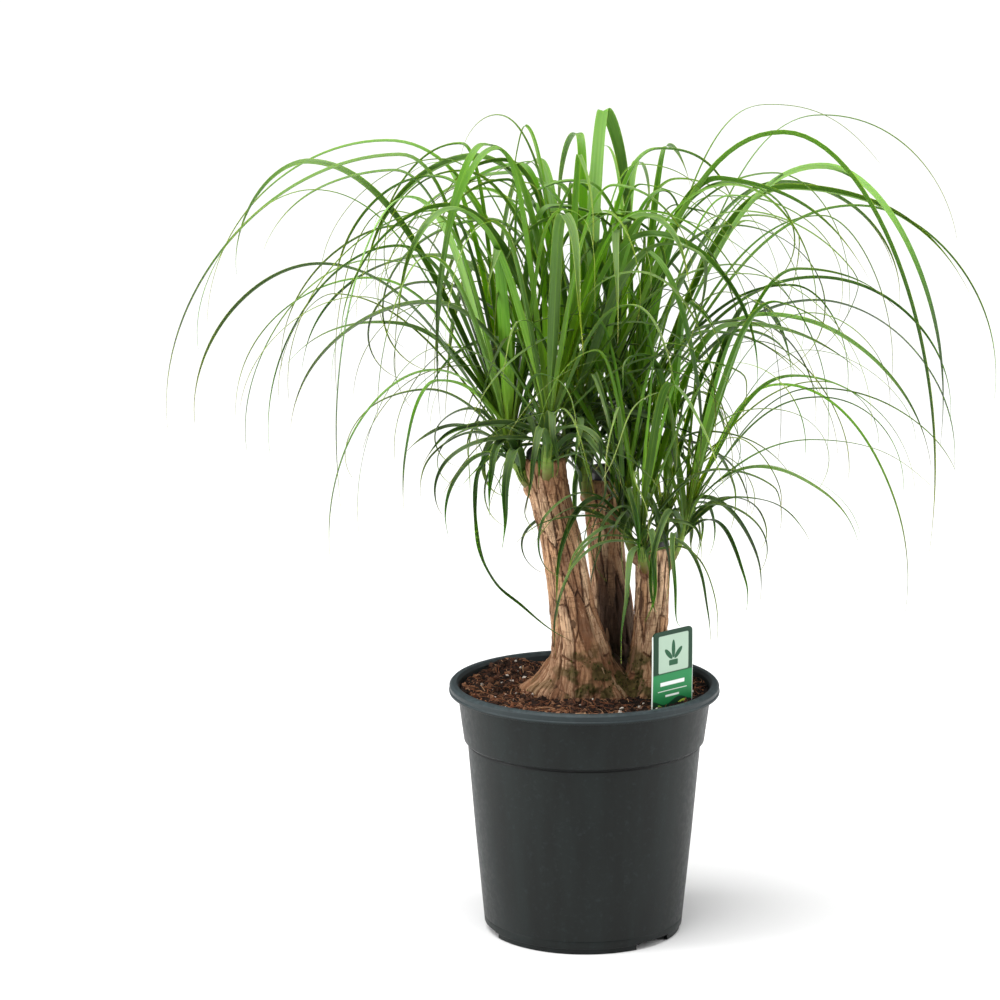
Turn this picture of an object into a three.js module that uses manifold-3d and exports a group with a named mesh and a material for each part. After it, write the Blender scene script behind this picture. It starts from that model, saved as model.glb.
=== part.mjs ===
// A ponytail palm with three cut canes, growing in a round nursery pot.
// Millimetres, +Z up. The origin is the centre of the pot's foot, on the surface that it stands on.
// The plant label faces the front, which is -Y. Angles in plan run from +X towards +Y.
import * as THREE from 'three';
import { mergeVertices } from 'three/addons/utils/BufferGeometryUtils.js';
import Module from 'manifold-3d';

const wasm = await Module();
wasm.setup();
const { Manifold, Mesh: SolidMesh } = wasm;

// ---------- driving dimensions ----------

const CLEARANCE = 0.35; // air between two pieces that touch on the real plant

const POT_HEIGHT = 225;
const POT_SIDES = 40;
const WALL = 1.6;
const RIM_RADIUS = 120;
const RIM_DEPTH = 8.5;
const COLLAR_TOP_RADIUS = 112.3;
const COLLAR_FOOT_RADIUS = 106.5;
const COLLAR_FOOT_Z = 175.5;
const BODY_TOP_RADIUS = 103.4;
const BODY_TOP_Z = 168;
const BODY_FOOT_RADIUS = 88.5;
const SKIRT_Z = 5; // the wall stops here, above the narrower foot ring
const FOOT_RADIUS = 86.5;
const FOOT_WIDTH = 3;
const FLOOR_Z = 7;
const NOTCH_ANGLES = [75, -45, -165]; // drainage notches in the foot ring, degrees in plan
const NOTCH_WIDTH = 40;
const NOTCH_HEIGHT = 6.4;

const SOIL_Z = 216;
const SOIL_RINGS = [0, 42, 82];

const CANE_SIDES = 16;
const BARK_RELIEF = 0.045; // depth of the bark's furrows, as a share of the cane's radius

const SHOOT_SIDES = 7;
const BLADE_STEPS = 4; // straight stretches in each half of a long leaf
const SHORT_BLADE_STEPS = 3;
const SHORT_LEAF = 230; // a leaf shorter than this has fewer stretches
const KEEL_DEPTH = 1.3; // a leaf's thickness at its midrib, near the root
const KEEL_TIP_DEPTH = 0.8;
const TIP_WIDTH = 1.3;
const ROOT_WIDTH = 4.5;
const ROOT_INSET = 0.4; // where a leaf starts inside its shoot, as a share of the shoot's radius
const CROWN_RADIUS = 340; // no ordinary leaf reaches further than this from the pot's axis
const CROWN_TOP = 702; // nor does one rise above this
const SIDEWAYS_TURN = 22; // degrees that leaves are turned towards the nearer side, left or right
const FRONT_LIFT = 0.35; // share of its fall that a leaf facing the front goes without
const STEEPEST_TIP = THREE.MathUtils.degToRad(97); // a tip hangs at most this steeply

const CARD = {
  width: 50, top: 287, shoulder: 205, stakeTip: 152, stakeWidth: 14, corner: 5, thickness: 1.2,
};
const CARD_CENTRE = [74.5, -62.5];
const CARD_ANGLE = 43.4; // plan angle of the card's width

// ---------- finishes ----------

const finish = (color, roughness) => new THREE.MeshStandardMaterial({ color, roughness, metalness: 0 });
const FINISHES = {
  pot: finish(0x39403f, 0.5),
  soil: finish(0x3c2c21, 1),
  bark: finish(0x8a6d52, 0.9),
  wax: finish(0x2a2b2a, 0.6),
  leaf: finish(0x4f7d26, 0.45),
  card: finish(0x3f9c5c, 0.35),
};

// ---------- solids ----------

// A closed geometry as a solid with its faces pointing out.
function solidOf(geometry) {
  const bare = geometry.clone();
  bare.deleteAttribute('normal');
  bare.deleteAttribute('uv');
  const merged = mergeVertices(bare, 1e-5);
  const positions = merged.getAttribute('position').array;
  const corners = Uint32Array.from(merged.index.array);
  if (signedVolume(positions, corners) < 0) {
    for (let i = 0; i < corners.length; i += 3) {
      [corners[i + 1], corners[i + 2]] = [corners[i + 2], corners[i + 1]];
    }
  }
  const vertProperties = Float32Array.from(positions);
  return new Manifold(new SolidMesh({ numProp: 3, vertProperties, triVerts: corners }));
}

function signedVolume(positions, corners) {
  const [a, b, c] = [new THREE.Vector3(), new THREE.Vector3(), new THREE.Vector3()];
  let volume = 0;
  for (let i = 0; i < corners.length; i += 3) {
    a.fromArray(positions, 3 * corners[i]);
    b.fromArray(positions, 3 * corners[i + 1]);
    c.fromArray(positions, 3 * corners[i + 2]);
    volume += a.dot(b.cross(c)) / 6;
  }
  return volume;
}

// Joins solids into one body: sealed hollows are filled and loose scraps are dropped.
function fuse(solids) {
  const joined = Manifold.union(solids).simplify(0.004);
  const bodies = joined.decompose();
  return bodies.reduce((best, body) => (body.volume() > best.volume() ? body : best));
}

function meshOf(name, solid, material) {
  const { vertProperties, triVerts, numProp } = solid.getMesh();
  if (numProp !== 3) throw new Error(`${name}: expected bare positions`);
  const geometry = new THREE.BufferGeometry();
  geometry.setAttribute('position', new THREE.BufferAttribute(vertProperties, 3));
  geometry.setIndex(new THREE.BufferAttribute(triVerts, 1));
  geometry.computeVertexNormals();
  const mesh = new THREE.Mesh(geometry, material.clone());
  mesh.name = name;
  return mesh;
}

// A closed skin over rings with the same number of corners. A pointed end is one last point.
function loft(rings, point = null) {
  const sides = rings[0].length;
  const corners = rings.flat();
  const faces = [];
  for (let r = 0; r + 1 < rings.length; r += 1) {
    for (let k = 0; k < sides; k += 1) {
      const a = r * sides + k;
      const b = r * sides + ((k + 1) % sides);
      faces.push(a, b, b + sides, a, b + sides, a + sides);
    }
  }
  for (let k = 1; k + 1 < sides; k += 1) faces.push(0, k + 1, k);
  const last = (rings.length - 1) * sides;
  if (point) {
    corners.push(point);
    for (let k = 0; k < sides; k += 1) faces.push(last + k, last + ((k + 1) % sides), corners.length - 1);
  } else {
    for (let k = 1; k + 1 < sides; k += 1) faces.push(last, last + k, last + k + 1);
  }
  const geometry = new THREE.BufferGeometry().setFromPoints(corners);
  geometry.setIndex(faces);
  return geometry;
}

const radians = THREE.MathUtils.degToRad;
const vector = (place) => new THREE.Vector3(...place);
const curveThrough = (places) => new THREE.CatmullRomCurve3(places.map(vector), false, 'centripetal');

// ---------- pot ----------

// The pot's wall in section, as [radius, height], from the middle of its underside round to the
// middle of its floor.
function potProfile() {
  return [
    [0, FLOOR_Z],
    [FOOT_RADIUS - FOOT_WIDTH, FLOOR_Z],
    [FOOT_RADIUS - FOOT_WIDTH, 0],
    [FOOT_RADIUS, 0],
    [FOOT_RADIUS, SKIRT_Z],
    [BODY_FOOT_RADIUS, SKIRT_Z],
    [BODY_TOP_RADIUS, BODY_TOP_Z],
    [COLLAR_FOOT_RADIUS, COLLAR_FOOT_Z],
    [COLLAR_TOP_RADIUS, POT_HEIGHT - RIM_DEPTH],
    [RIM_RADIUS - 0.6, POT_HEIGHT - RIM_DEPTH],
    [RIM_RADIUS, POT_HEIGHT - RIM_DEPTH + 2.5],
    [RIM_RADIUS - 0.8, POT_HEIGHT - 1.2],
    [RIM_RADIUS - 2.4, POT_HEIGHT],
    [COLLAR_TOP_RADIUS + 0.6, POT_HEIGHT],
    [COLLAR_TOP_RADIUS - 0.8, POT_HEIGHT - 1.6],
    ...innerWall(0).reverse(),
    [0, FLOOR_Z + WALL],
  ];
}

// The inner face of the pot's wall, moved in by a gap, from the floor up to just under the rim.
function innerWall(gap) {
  return [
    [BODY_FOOT_RADIUS - WALL - gap, FLOOR_Z + WALL + gap],
    [BODY_TOP_RADIUS - WALL - gap, BODY_TOP_Z],
    [COLLAR_FOOT_RADIUS - WALL - gap, COLLAR_FOOT_Z],
    [COLLAR_TOP_RADIUS - WALL - gap - 0.4, POT_HEIGHT - RIM_DEPTH - 3],
  ];
}

function turned(profile) {
  const lathe = new THREE.LatheGeometry(profile.map(([r, z]) => new THREE.Vector2(r, z)), POT_SIDES);
  return solidOf(lathe.rotateX(Math.PI / 2));
}

function makePot() {
  const notches = NOTCH_ANGLES.map((angle) => {
    const cutter = new THREE.BoxGeometry(20, NOTCH_WIDTH, 2 * NOTCH_HEIGHT);
    cutter.translate(FOOT_RADIUS, 0, 0);
    return solidOf(cutter.rotateZ(radians(angle)));
  });
  return fuse([turned(potProfile()).subtract(Manifold.union(notches))]);
}

// ---------- soil ----------

// Height of the peat: higher against the canes, with a heap at the back left and small lumps.
function soilHeight(x, y) {
  const mound = 4 * Math.exp(-(x * x + y * y) / 3600);
  const heap = 9 * Math.exp(-((x + 67) ** 2 + (y - 75) ** 2) / 700);
  const lumps = 1.3 * Math.sin(x / 13 + 1.3) * Math.sin(y / 11 + 0.4);
  return SOIL_Z + mound + heap + lumps;
}

function makeSoil(holes) {
  const wall = innerWall(CLEARANCE + 0.3);
  const ringAt = (radius, height) =>
    Array.from({ length: POT_SIDES }, (_, k) => {
      const angle = (2 * Math.PI * k) / POT_SIDES;
      const [x, y] = [radius * Math.sin(angle), radius * Math.cos(angle)];
      return new THREE.Vector3(x, y, height ?? soilHeight(x, y));
    });
  const rings = wall.map(([radius, height]) => ringAt(radius, height));
  const edge = wall.at(-1)[0];
  rings.push(ringAt(edge, SOIL_Z - 1.5));
  for (const radius of SOIL_RINGS.slice(1).reverse()) rings.push(ringAt(radius));
  const bed = solidOf(loft(rings, new THREE.Vector3(0, 0, soilHeight(0, 0))));
  return fuse([bed.subtract(Manifold.union(holes))]);
}

// ---------- canes ----------

// Each limb of the trunk: places up its middle as [x, y, z, radius across, radius front to back].
const LIMBS = {
  base: [
    [0, 0, 168, 34, 26], [0, 0, 198, 50, 37], [0, 0, 218, 56, 41],
    [0, -3, 231, 42, 33], [-1, -5, 247, 30, 24], [-2, -7, 262, 16, 13],
  ],
  left: [
    [0, -8, 196, 34, 30], [-1, -12, 222, 33, 29], [-3, -14, 257, 25, 23], [-11, -18, 299, 19.5, 19],
    [-21, -22, 356, 17.5, 17.5], [-32, -25, 402, 17, 17], [-36, -27, 431, 17, 17],
  ],
  middle: [
    [28, 18, 196, 27, 26], [30, 29, 232, 20.5, 20], [26, 32, 288, 17, 17],
    [20, 34, 337, 15.5, 15.5], [14, 36, 401, 16, 16],
  ],
  right: [
    [42, -10, 196, 27, 25], [52, -14, 222, 20, 20], [56, -12, 256, 15.5, 16],
    [59, -10, 297, 14.5, 14.5], [60, -10, 349, 14.5, 14.5],
  ],
};
const LIMB_RINGS = { base: 5, left: 9, middle: 7, right: 6 };
const LIMB_PHASES = { base: 0.4, left: 1.7, middle: 3.1, right: 5.2 };

// A cane with upright furrows in its bark. The gap makes the hole that it stands in.
function makeLimb(name, gap = 0) {
  const places = LIMBS[name];
  const middle = curveThrough(places.map(([x, y, z]) => [x, y, z]));
  const radii = curveThrough(places.map(([, , z, across, deep]) => [across, deep, z]));
  const count = LIMB_RINGS[name];
  const rings = Array.from({ length: count + 1 }, (_, i) => {
    const centre = middle.getPoint(i / count);
    const radius = radii.getPoint(i / count);
    return Array.from({ length: CANE_SIDES }, (_, k) => {
      const angle = (2 * Math.PI * k) / CANE_SIDES;
      const furrow = k % 2 ? 1 : -1;
      const depth = BARK_RELIEF * (0.6 + 0.4 * Math.sin(1.9 * k + 0.9 * i + LIMB_PHASES[name]));
      const swell = 1 + furrow * depth;
      return new THREE.Vector3(
        centre.x + (radius.x * swell + gap) * Math.cos(angle),
        centre.y + (radius.y * swell + gap) * Math.sin(angle),
        centre.z,
      );
    });
  });
  if (gap) rings[0].forEach((corner) => { corner.z -= gap; });
  return solidOf(loft(rings));
}

const caneTop = (name) => vector(LIMBS[name].at(-1));

// ---------- wax on the cut tops ----------

const CAPS = [
  { name: 'wound_wax_left', cane: 'left', shift: [-3, 1], radius: 13, height: 11 },
  { name: 'wound_wax_middle', cane: 'middle', shift: [2, 1], radius: 13, height: 13 },
  { name: 'wound_wax_right', cane: 'right', shift: [0, 0], radius: 13.3, height: 13 },
];

function makeCap({ cane, shift, radius, height }) {
  const profile = [new THREE.Vector2(0, 0), new THREE.Vector2(radius * 0.96, 0)];
  for (let i = 0; i <= 5; i += 1) {
    const lift = (i / 5) * (Math.PI / 2);
    profile.push(new THREE.Vector2(radius * Math.cos(lift), 1.5 + (height - 1.5) * Math.sin(lift)));
  }
  const dome = new THREE.LatheGeometry(profile, 16).rotateX(Math.PI / 2);
  const top = caneTop(cane);
  return solidOf(dome.translate(top.x + shift[0], top.y + shift[1], top.z + CLEARANCE));
}

// ---------- shoots and their leaves ----------

// Each head is a shoot from the side of a cane and its leaves. The shoot's places run up its middle from
// inside the cane. Span scales the leaves, hang scales how far their tips fall, and lean is where the head
// bends to, in plan.
const HEADS = [
  {
    name: 'head_left_outer', radius: 6.5, leaves: 28, span: 1, hang: 1, lean: [-22, -8],
    shoot: [[-42, -26, 401], [-50, -27, 409], [-60, -27, 428], [-66, -27, 448], [-68, -27, 468]],
  },
  {
    name: 'head_left_front', radius: 5.5, leaves: 22, span: 0.9, hang: 1, lean: [-4, -26],
    shoot: [[-34, -35, 411], [-34, -44.5, 421], [-33.5, -49, 445], [-32.5, -50, 484]],
  },
  {
    name: 'head_left_back', radius: 5.5, leaves: 22, span: 1, hang: 1, lean: [-8, 12],
    shoot: [[-27, -18.5, 416], [-21, -12, 425], [-15, -7, 455], [-11, -3, 488]],
  },
  {
    name: 'head_middle_front', radius: 6.5, leaves: 26, span: 1.05, hang: 1, lean: [0, -8],
    shoot: [[8, 27, 382], [2, 19, 392], [0, 15, 413], [2.6, 14, 449], [6, 16, 476]],
  },
  {
    name: 'head_middle_right', radius: 6, leaves: 24, span: 1.05, hang: 1, lean: [22, 8],
    shoot: [[24, 38, 388], [35, 40.5, 399], [45, 42, 430], [50, 43, 470]],
  },
  {
    name: 'head_middle_back', radius: 5.5, leaves: 22, span: 1, hang: 1, lean: [4, 26],
    shoot: [[20, 45, 369], [24, 54, 382], [28, 59, 430], [30, 62, 460]],
  },
  {
    name: 'head_right_left', radius: 5, leaves: 13, span: 0.66, hang: 0.45, lean: [-6, -10],
    shoot: [[50, -12, 336], [44, -14, 343], [36, -15.5, 366], [32, -16, 408]],
  },
  {
    name: 'head_right_front', radius: 5, leaves: 16, span: 0.7, hang: 0.45, lean: [4, -20],
    shoot: [[56, -19, 326], [52, -26, 334], [49, -31, 360], [47.5, -31, 390]],
  },
  {
    name: 'head_right_outer', radius: 5, leaves: 16, span: 0.8, hang: 0.6, lean: [24, -4],
    shoot: [[69, -11.5, 332], [76, -12, 340], [84, -12, 360], [91, -12, 392]],
  },
  {
    name: 'head_right_back', radius: 5, leaves: 13, span: 0.75, hang: 0.5, lean: [12, 14],
    shoot: [[64, -1, 333], [67, 6, 342], [69.5, 12, 362], [70, 14, 390]],
  },
];

// How a leaf weeps at each age, from the youngest in the middle of a head to the oldest at its foot. It
// rises, runs out to its highest point, and its tip has a reach from the root and a fall from the highest
// point. Root is its height on the shoot, as a share of the shoot's length.
const AGES = [
  { age: 0, rise: 165, out: 16, reach: 34, fall: 12, width: 9, root: 0.97 },
  { age: 0.15, rise: 208, out: 80, reach: 166, fall: 68, width: 13, root: 0.92 },
  { age: 0.4, rise: 208, out: 122, reach: 232, fall: 120, width: 13.5, root: 0.86 },
  { age: 0.65, rise: 146, out: 134, reach: 245, fall: 138, width: 11.5, root: 0.77 },
  { age: 0.85, rise: 74, out: 92, reach: 172, fall: 110, width: 10, root: 0.67 },
  { age: 1, rise: 20, out: 42, reach: 84, fall: 78, width: 8.5, root: 0.55 },
];
const GOLDEN_ANGLE = 137.508;

// Leaves that stand out on this plant: the head, plan angle, rise, out, reach, fall, width and the
// sideways sway of the tip.
const OUTSTANDING = [
  ['head_left_outer', -160, 200, 90, 150, 275, 13, 0],
  ['head_left_outer', 150, 240, 45, 130, 145, 8, 0],
  ['head_left_outer', 180, 230, 90, 292, 245, 10, 0],
  ['head_left_outer', 190, 155, 95, 205, 180, 9, 0],
  ['head_left_outer', 172, 125, 120, 238, 130, 8, 0],
  ['head_left_outer', 165, 85, 100, 200, 45, 8, 0],
  ['head_left_outer', -170, 50, 65, 155, 165, 9, 10],
  ['head_left_outer', -155, 45, 65, 95, 110, 10, 0],
  ['head_left_front', -150, 225, 50, 105, 185, 12, 0],
  ['head_left_front', -85, 180, 130, 285, 90, 12, 0],
  ['head_left_back', 170, 220, 160, 325, 165, 8, 0],
  ['head_left_back', -140, 225, 98, 145, 235, 11, 0],
  ['head_left_back', 100, 190, 130, 300, 210, 9, 20],
  ['head_middle_front', 75, 262, 8, 34, 160, 15, -24],
  ['head_middle_front', 165, 255, 82, 115, 50, 8, 0],
  ['head_middle_front', -5, 245, 163, 295, 375, 12, 0],
  ['head_middle_front', -45, 145, 55, 125, 190, 14, 0],
  ['head_middle_right', 20, 255, 165, 305, 115, 7, 0],
  ['head_middle_right', -12, 215, 157, 262, 250, 13, 0],
  ['head_middle_right', 0, 180, 186, 311, 175, 9, 0],
  ['head_middle_right', -22, 95, 120, 265, 125, 9, 0],
  ['head_middle_right', 8, 112, 152, 280, 135, 9, 0],
  ['head_middle_back', 30, 272, 150, 280, 60, 6, 0],
  ['head_middle_back', 88, 180, 130, 270, 220, 9, 0],
  ['head_right_outer', 15, 110, 92, 208, 110, 9, 0],
  ['head_right_outer', 0, 95, 110, 185, 85, 8, 0],
  ['head_right_outer', -15, 65, 112, 213, 40, 8, 0],
  ['head_right_outer', -25, 40, 70, 156, 60, 9, 0],
  ['head_right_outer', 25, 100, 84, 222, 225, 8, 0],
  ['head_right_front', -80, 135, 130, 290, 55, 10, 0],
];

// A repeatable number from 0 to 1 for each head, leaf and use.
function draw(head, leaf, use) {
  const wave = Math.sin(head * 127.1 + leaf * 311.7 + use * 74.7) * 43758.5453;
  return wave - Math.floor(wave);
}

const spread = (value, amount) => 1 + amount * (2 * value - 1);

// Reads one row of AGES at an age between two of them.
function atAge(age, use) {
  const next = Math.max(1, AGES.findIndex((row) => row.age >= age));
  const [young, old] = [AGES[next - 1], AGES[next]];
  return THREE.MathUtils.mapLinear(age, young.age, old.age, young[use], old[use]);
}

// Leaf number k of a head, by its age and the golden angle.
function grownLeaf(head, headIndex, k) {
  const age = Math.min(1, (k + draw(headIndex, k, 1)) / head.leaves);
  const vigour = head.span * spread(draw(headIndex, k, 2), 0.16);
  const turn = GOLDEN_ANGLE * k + 40 * headIndex + 16 * (draw(headIndex, k, 3) - 0.5);
  return {
    azimuth: turn - SIDEWAYS_TURN * Math.sin(2 * radians(turn)),
    rise: atAge(age, 'rise') * vigour * spread(draw(headIndex, k, 4), 0.14),
    out: atAge(age, 'out') * vigour * spread(draw(headIndex, k, 5), 0.3),
    reach: atAge(age, 'reach') * vigour * spread(draw(headIndex, k, 6), 0.14),
    fall: atAge(age, 'fall') * head.hang * spread(draw(headIndex, k, 7), 0.35),
    width: atAge(age, 'width') * spread(draw(headIndex, k, 8), 0.2),
    sway: 70 * (draw(headIndex, k, 9) - 0.5) * (0.3 + age),
    twist: 120 * (draw(headIndex, k, 10) - 0.5),
    root: atAge(age, 'root'),
    lean: 1,
    limit: CROWN_RADIUS,
    ceiling: CROWN_TOP,
  };
}

function outstandingLeaf([, azimuth, rise, out, reach, fall, width, sway], k) {
  const root = 0.86 + 0.1 * draw(99, k, 1);
  const free = { twist: 0, root, lean: 0, limit: Infinity, ceiling: Infinity };
  return { azimuth, rise, out, reach, fall, width, sway, ...free };
}

// The two arcs of a leaf's midrib: up from the shoot to its highest point, and down to its tip.
function leafArcs(shoot, head, leaf) {
  const away = vector([Math.cos(radians(leaf.azimuth)), Math.sin(radians(leaf.azimuth)), 0]);
  const root = shoot.getPointAt(leaf.root).addScaledVector(away, ROOT_INSET * head.radius);
  const across = vector([-away.y, away.x, 0]);
  const up = vector([0, 0, 1]);
  const from = (place, outwards, upwards, sideways = 0) =>
    place.clone()
      .addScaledVector(away, outwards)
      .addScaledVector(up, upwards)
      .addScaledVector(across, sideways);
  const drift = vector([...head.lean, 0]).multiplyScalar(leaf.lean);
  const rise = Math.min(leaf.rise, leaf.ceiling - root.z);
  const fall = leaf.fall * (1 - FRONT_LIFT * leaf.lean * Math.max(0, -away.y) ** 2);
  const top = from(root, leaf.out, rise, 0.25 * leaf.sway).addScaledVector(drift, 0.5);
  const tipAt = (run) => from(top, run, -fall, 0.75 * leaf.sway).addScaledVector(drift, 0.5);
  const furthest = tipAt(leaf.reach - leaf.out);
  const beyond = Math.max(0, Math.hypot(furthest.x, furthest.y) - leaf.limit);
  const run = Math.max(12, leaf.reach - leaf.out - beyond);
  const tip = tipAt(run);
  const launch = Math.PI / 2 - 0.8 * Math.atan2(leaf.out, rise);
  const hang = Math.atan2(fall, run);
  const bow = Math.min(1, hang / (Math.PI / 4));
  const dive = Math.min(STEEPEST_TIP, 2 * hang);
  const pull = Math.max(0.36 * Math.hypot(fall, run), 0.5 * bow * fall);
  return [
    new THREE.CubicBezierCurve3(
      root,
      from(root, 0.5 * rise * Math.cos(launch), 0.5 * rise * Math.sin(launch)),
      from(top, -0.5 * leaf.out, 0, -0.12 * leaf.sway),
      top,
    ),
    new THREE.CubicBezierCurve3(
      top,
      from(top, (0.36 + 0.2 * bow) * run, 0, 0.2 * leaf.sway),
      from(tip, -pull * Math.cos(dive), pull * Math.sin(dive)),
      tip,
    ),
  ];
}

// A leaf as a long keeled blade: three corners round its midrib, from its root to a thread-like tip.
function makeBlade(shoot, head, leaf) {
  const [rising, falling] = leafArcs(shoot, head, leaf);
  const length = rising.getLength() + falling.getLength();
  const steps = length < SHORT_LEAF || leaf.lean ? SHORT_BLADE_STEPS : BLADE_STEPS;
  const midrib = [];
  for (let i = 0; i <= steps; i += 1) midrib.push([rising, i / steps]);
  for (let i = 1; i <= steps; i += 1) midrib.push([falling, i / steps]);
  const side = vector([-Math.sin(radians(leaf.azimuth)), Math.cos(radians(leaf.azimuth)), 0]);
  const rings = midrib.slice(0, -1).map(([arc, t], i) => {
    const share = i / (2 * steps);
    const tangent = arc.getTangent(t);
    const twisted = side.clone().addScaledVector(tangent, -side.dot(tangent)).normalize();
    twisted.applyAxisAngle(tangent, radians(leaf.twist) * share * share);
    const face = new THREE.Vector3().crossVectors(tangent, twisted);
    const widening = 0.5 + 0.6 * THREE.MathUtils.smoothstep(share, 0, 0.3);
    const width = i === 0 ? ROOT_WIDTH : leaf.width * widening * (1 - share) ** 0.9;
    const half = 0.5 * Math.max(TIP_WIDTH, width);
    const keel = THREE.MathUtils.lerp(KEEL_DEPTH, KEEL_TIP_DEPTH, share);
    const middle = arc.getPoint(t);
    return [
      middle.clone().addScaledVector(twisted, half).addScaledVector(face, 0.1 * half),
      middle.clone().addScaledVector(twisted, -half).addScaledVector(face, 0.1 * half),
      middle.clone().addScaledVector(face, -keel),
    ];
  });
  return solidOf(loft(rings, falling.getPoint(1)));
}

// A shoot as a tapering stem. The gap makes the socket that it stands in.
function makeShoot(head, gap = 0) {
  const middle = curveThrough(head.shoot);
  const count = 9;
  const { normals, binormals } = middle.computeFrenetFrames(count);
  const rings = Array.from({ length: count + 1 }, (_, i) => {
    const share = i / count;
    const centre = middle.getPointAt(share);
    if (i === 0 && gap) centre.addScaledVector(middle.getTangentAt(0), -gap);
    const radius = head.radius * (1 - 0.45 * share ** 3) + gap;
    return Array.from({ length: SHOOT_SIDES }, (_, k) => {
      const angle = (2 * Math.PI * k) / SHOOT_SIDES;
      return centre.clone()
        .addScaledVector(normals[i], radius * Math.cos(angle))
        .addScaledVector(binormals[i], radius * Math.sin(angle));
    });
  });
  return solidOf(loft(rings));
}

// Turns and lifts that are tried, in order, for a leaf that would touch another head.
const NUDGES = [[0, 1], [4, 1], [-4, 1], [8, 1], [-8, 1], [4, 1.06], [-5, 0.94], [12, 1.04], [-12, 0.96]];

// Grows every head, leaf by leaf, each clear of all that stands in its way.
function growHeads(inTheWay) {
  const stems = HEADS.map((head) => makeShoot(head));
  const grown = HEADS.map((_, i) => [{ solid: stems[i], box: stems[i].boundingBox() }]);
  const obstacles = inTheWay.map((solid) => ({ solid, box: solid.boundingBox() }));
  const apart = (a, b) => a.min.some((_, axis) =>
    a.min[axis] > b.max[axis] + CLEARANCE || b.min[axis] > a.max[axis] + CLEARANCE);
  const clear = (blade, headIndex) => {
    const others = [...obstacles, ...grown.filter((_, i) => i !== headIndex).flat()];
    return others.every((other) =>
      apart(blade.box, other.box) || blade.solid.minGap(other.solid, CLEARANCE) >= CLEARANCE);
  };
  const place = (headIndex, leaf) => {
    const head = HEADS[headIndex];
    const shoot = curveThrough(head.shoot);
    for (const [turn, lift] of NUDGES) {
      const moved = { ...leaf, azimuth: leaf.azimuth + turn, rise: leaf.rise * lift };
      const solid = makeBlade(shoot, head, moved);
      const blade = { solid, box: solid.boundingBox() };
      if (clear(blade, headIndex)) {
        grown[headIndex].push(blade);
        return;
      }
    }
  };
  OUTSTANDING.forEach((row, k) => {
    place(HEADS.findIndex(({ name }) => name === row[0]), outstandingLeaf(row, k));
  });
  const most = Math.max(...HEADS.map(({ leaves }) => leaves));
  for (let k = 0; k < most; k += 1) {
    HEADS.forEach((head, i) => {
      if (k < head.leaves) place(i, grownLeaf(head, i, k));
    });
  }
  return grown.map((pieces) => fuse(pieces.map(({ solid }) => solid)));
}

// ---------- plant label ----------

// The label's outline is a card with round upper corners over a tapering stake. The gap makes its slot.
function makeLabel(gap = 0) {
  const half = CARD.width / 2 + gap;
  const stake = CARD.stakeWidth / 2 + gap;
  const outline = new THREE.Shape();
  outline.moveTo(-1 - gap, CARD.stakeTip - gap);
  outline.lineTo(1 + gap, CARD.stakeTip - gap);
  outline.lineTo(stake, CARD.shoulder - 12 - gap);
  outline.lineTo(half, CARD.shoulder - gap);
  outline.lineTo(half, CARD.top - CARD.corner);
  outline.absarc(half - CARD.corner, CARD.top - CARD.corner, CARD.corner, 0, Math.PI / 2, false);
  outline.absarc(CARD.corner - half, CARD.top - CARD.corner, CARD.corner, Math.PI / 2, Math.PI, false);
  outline.lineTo(-half, CARD.shoulder - gap);
  outline.lineTo(-stake, CARD.shoulder - 12 - gap);
  outline.closePath();
  const depth = CARD.thickness + 2 * gap;
  const card = new THREE.ExtrudeGeometry(outline, { depth, bevelEnabled: false, curveSegments: 6 });
  card.translate(0, 0, -depth / 2).rotateX(Math.PI / 2).rotateZ(radians(CARD_ANGLE));
  return solidOf(card.translate(...CARD_CENTRE, 0));
}

// ---------- the whole plant ----------

const limbNames = Object.keys(LIMBS);
const sockets = HEADS.map((head) => makeShoot(head, CLEARANCE));
const trunk = fuse(limbNames.map((name) => makeLimb(name)));
const pot = makePot();
const soil = makeSoil([...limbNames.map((name) => makeLimb(name, CLEARANCE + 0.15)), makeLabel(CLEARANCE)]);
const caps = CAPS.map((cap) => makeCap(cap));
const label = makeLabel();
const heads = growHeads([pot, soil, trunk, label, ...caps]);
const socketedTrunk = fuse([trunk.subtract(Manifold.union(sockets))]);

const group = new THREE.Group();
group.add(meshOf('pot', pot, FINISHES.pot));
group.add(meshOf('soil', soil, FINISHES.soil));
group.add(meshOf('trunk', socketedTrunk, FINISHES.bark));
CAPS.forEach(({ name }, i) => group.add(meshOf(name, caps[i], FINISHES.wax)));
group.add(meshOf('plant_label', label, FINISHES.card));
HEADS.forEach(({ name }, i) => group.add(meshOf(name, heads[i], FINISHES.leaf)));

export default group;
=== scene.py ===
# A ponytail palm with three cut canes in a round nursery pot: every finished piece, built round the frame.
# Plan angles run from +X towards +Y, in degrees. The plant label faces the front, which is -Y. Lengths are in
# millimetres and become metres when a mesh is made, apart from those of the stage, which are in metres.
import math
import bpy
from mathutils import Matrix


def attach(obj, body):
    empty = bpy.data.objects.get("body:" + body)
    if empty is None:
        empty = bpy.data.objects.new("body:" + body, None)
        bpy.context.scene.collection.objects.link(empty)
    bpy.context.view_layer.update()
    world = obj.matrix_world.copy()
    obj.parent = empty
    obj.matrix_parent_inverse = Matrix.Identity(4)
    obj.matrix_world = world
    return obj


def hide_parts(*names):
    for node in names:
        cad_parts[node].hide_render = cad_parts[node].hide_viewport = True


bl_info = {
    "name": "Potted Ponytail Palm",
    "version": (1, 0, 0),
    "blender": (4, 5, 0),
    "location": "3D View > Sidebar > Palm",
    "description": "Builds the finished pieces of a potted ponytail palm round its fixed frame",
    "category": "Add Mesh",
}

from collections import namedtuple

import bmesh
import bpy
import numpy as np
from bpy.props import FloatProperty, FloatVectorProperty, IntProperty, PointerProperty
from mathutils import Matrix, Vector

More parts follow.
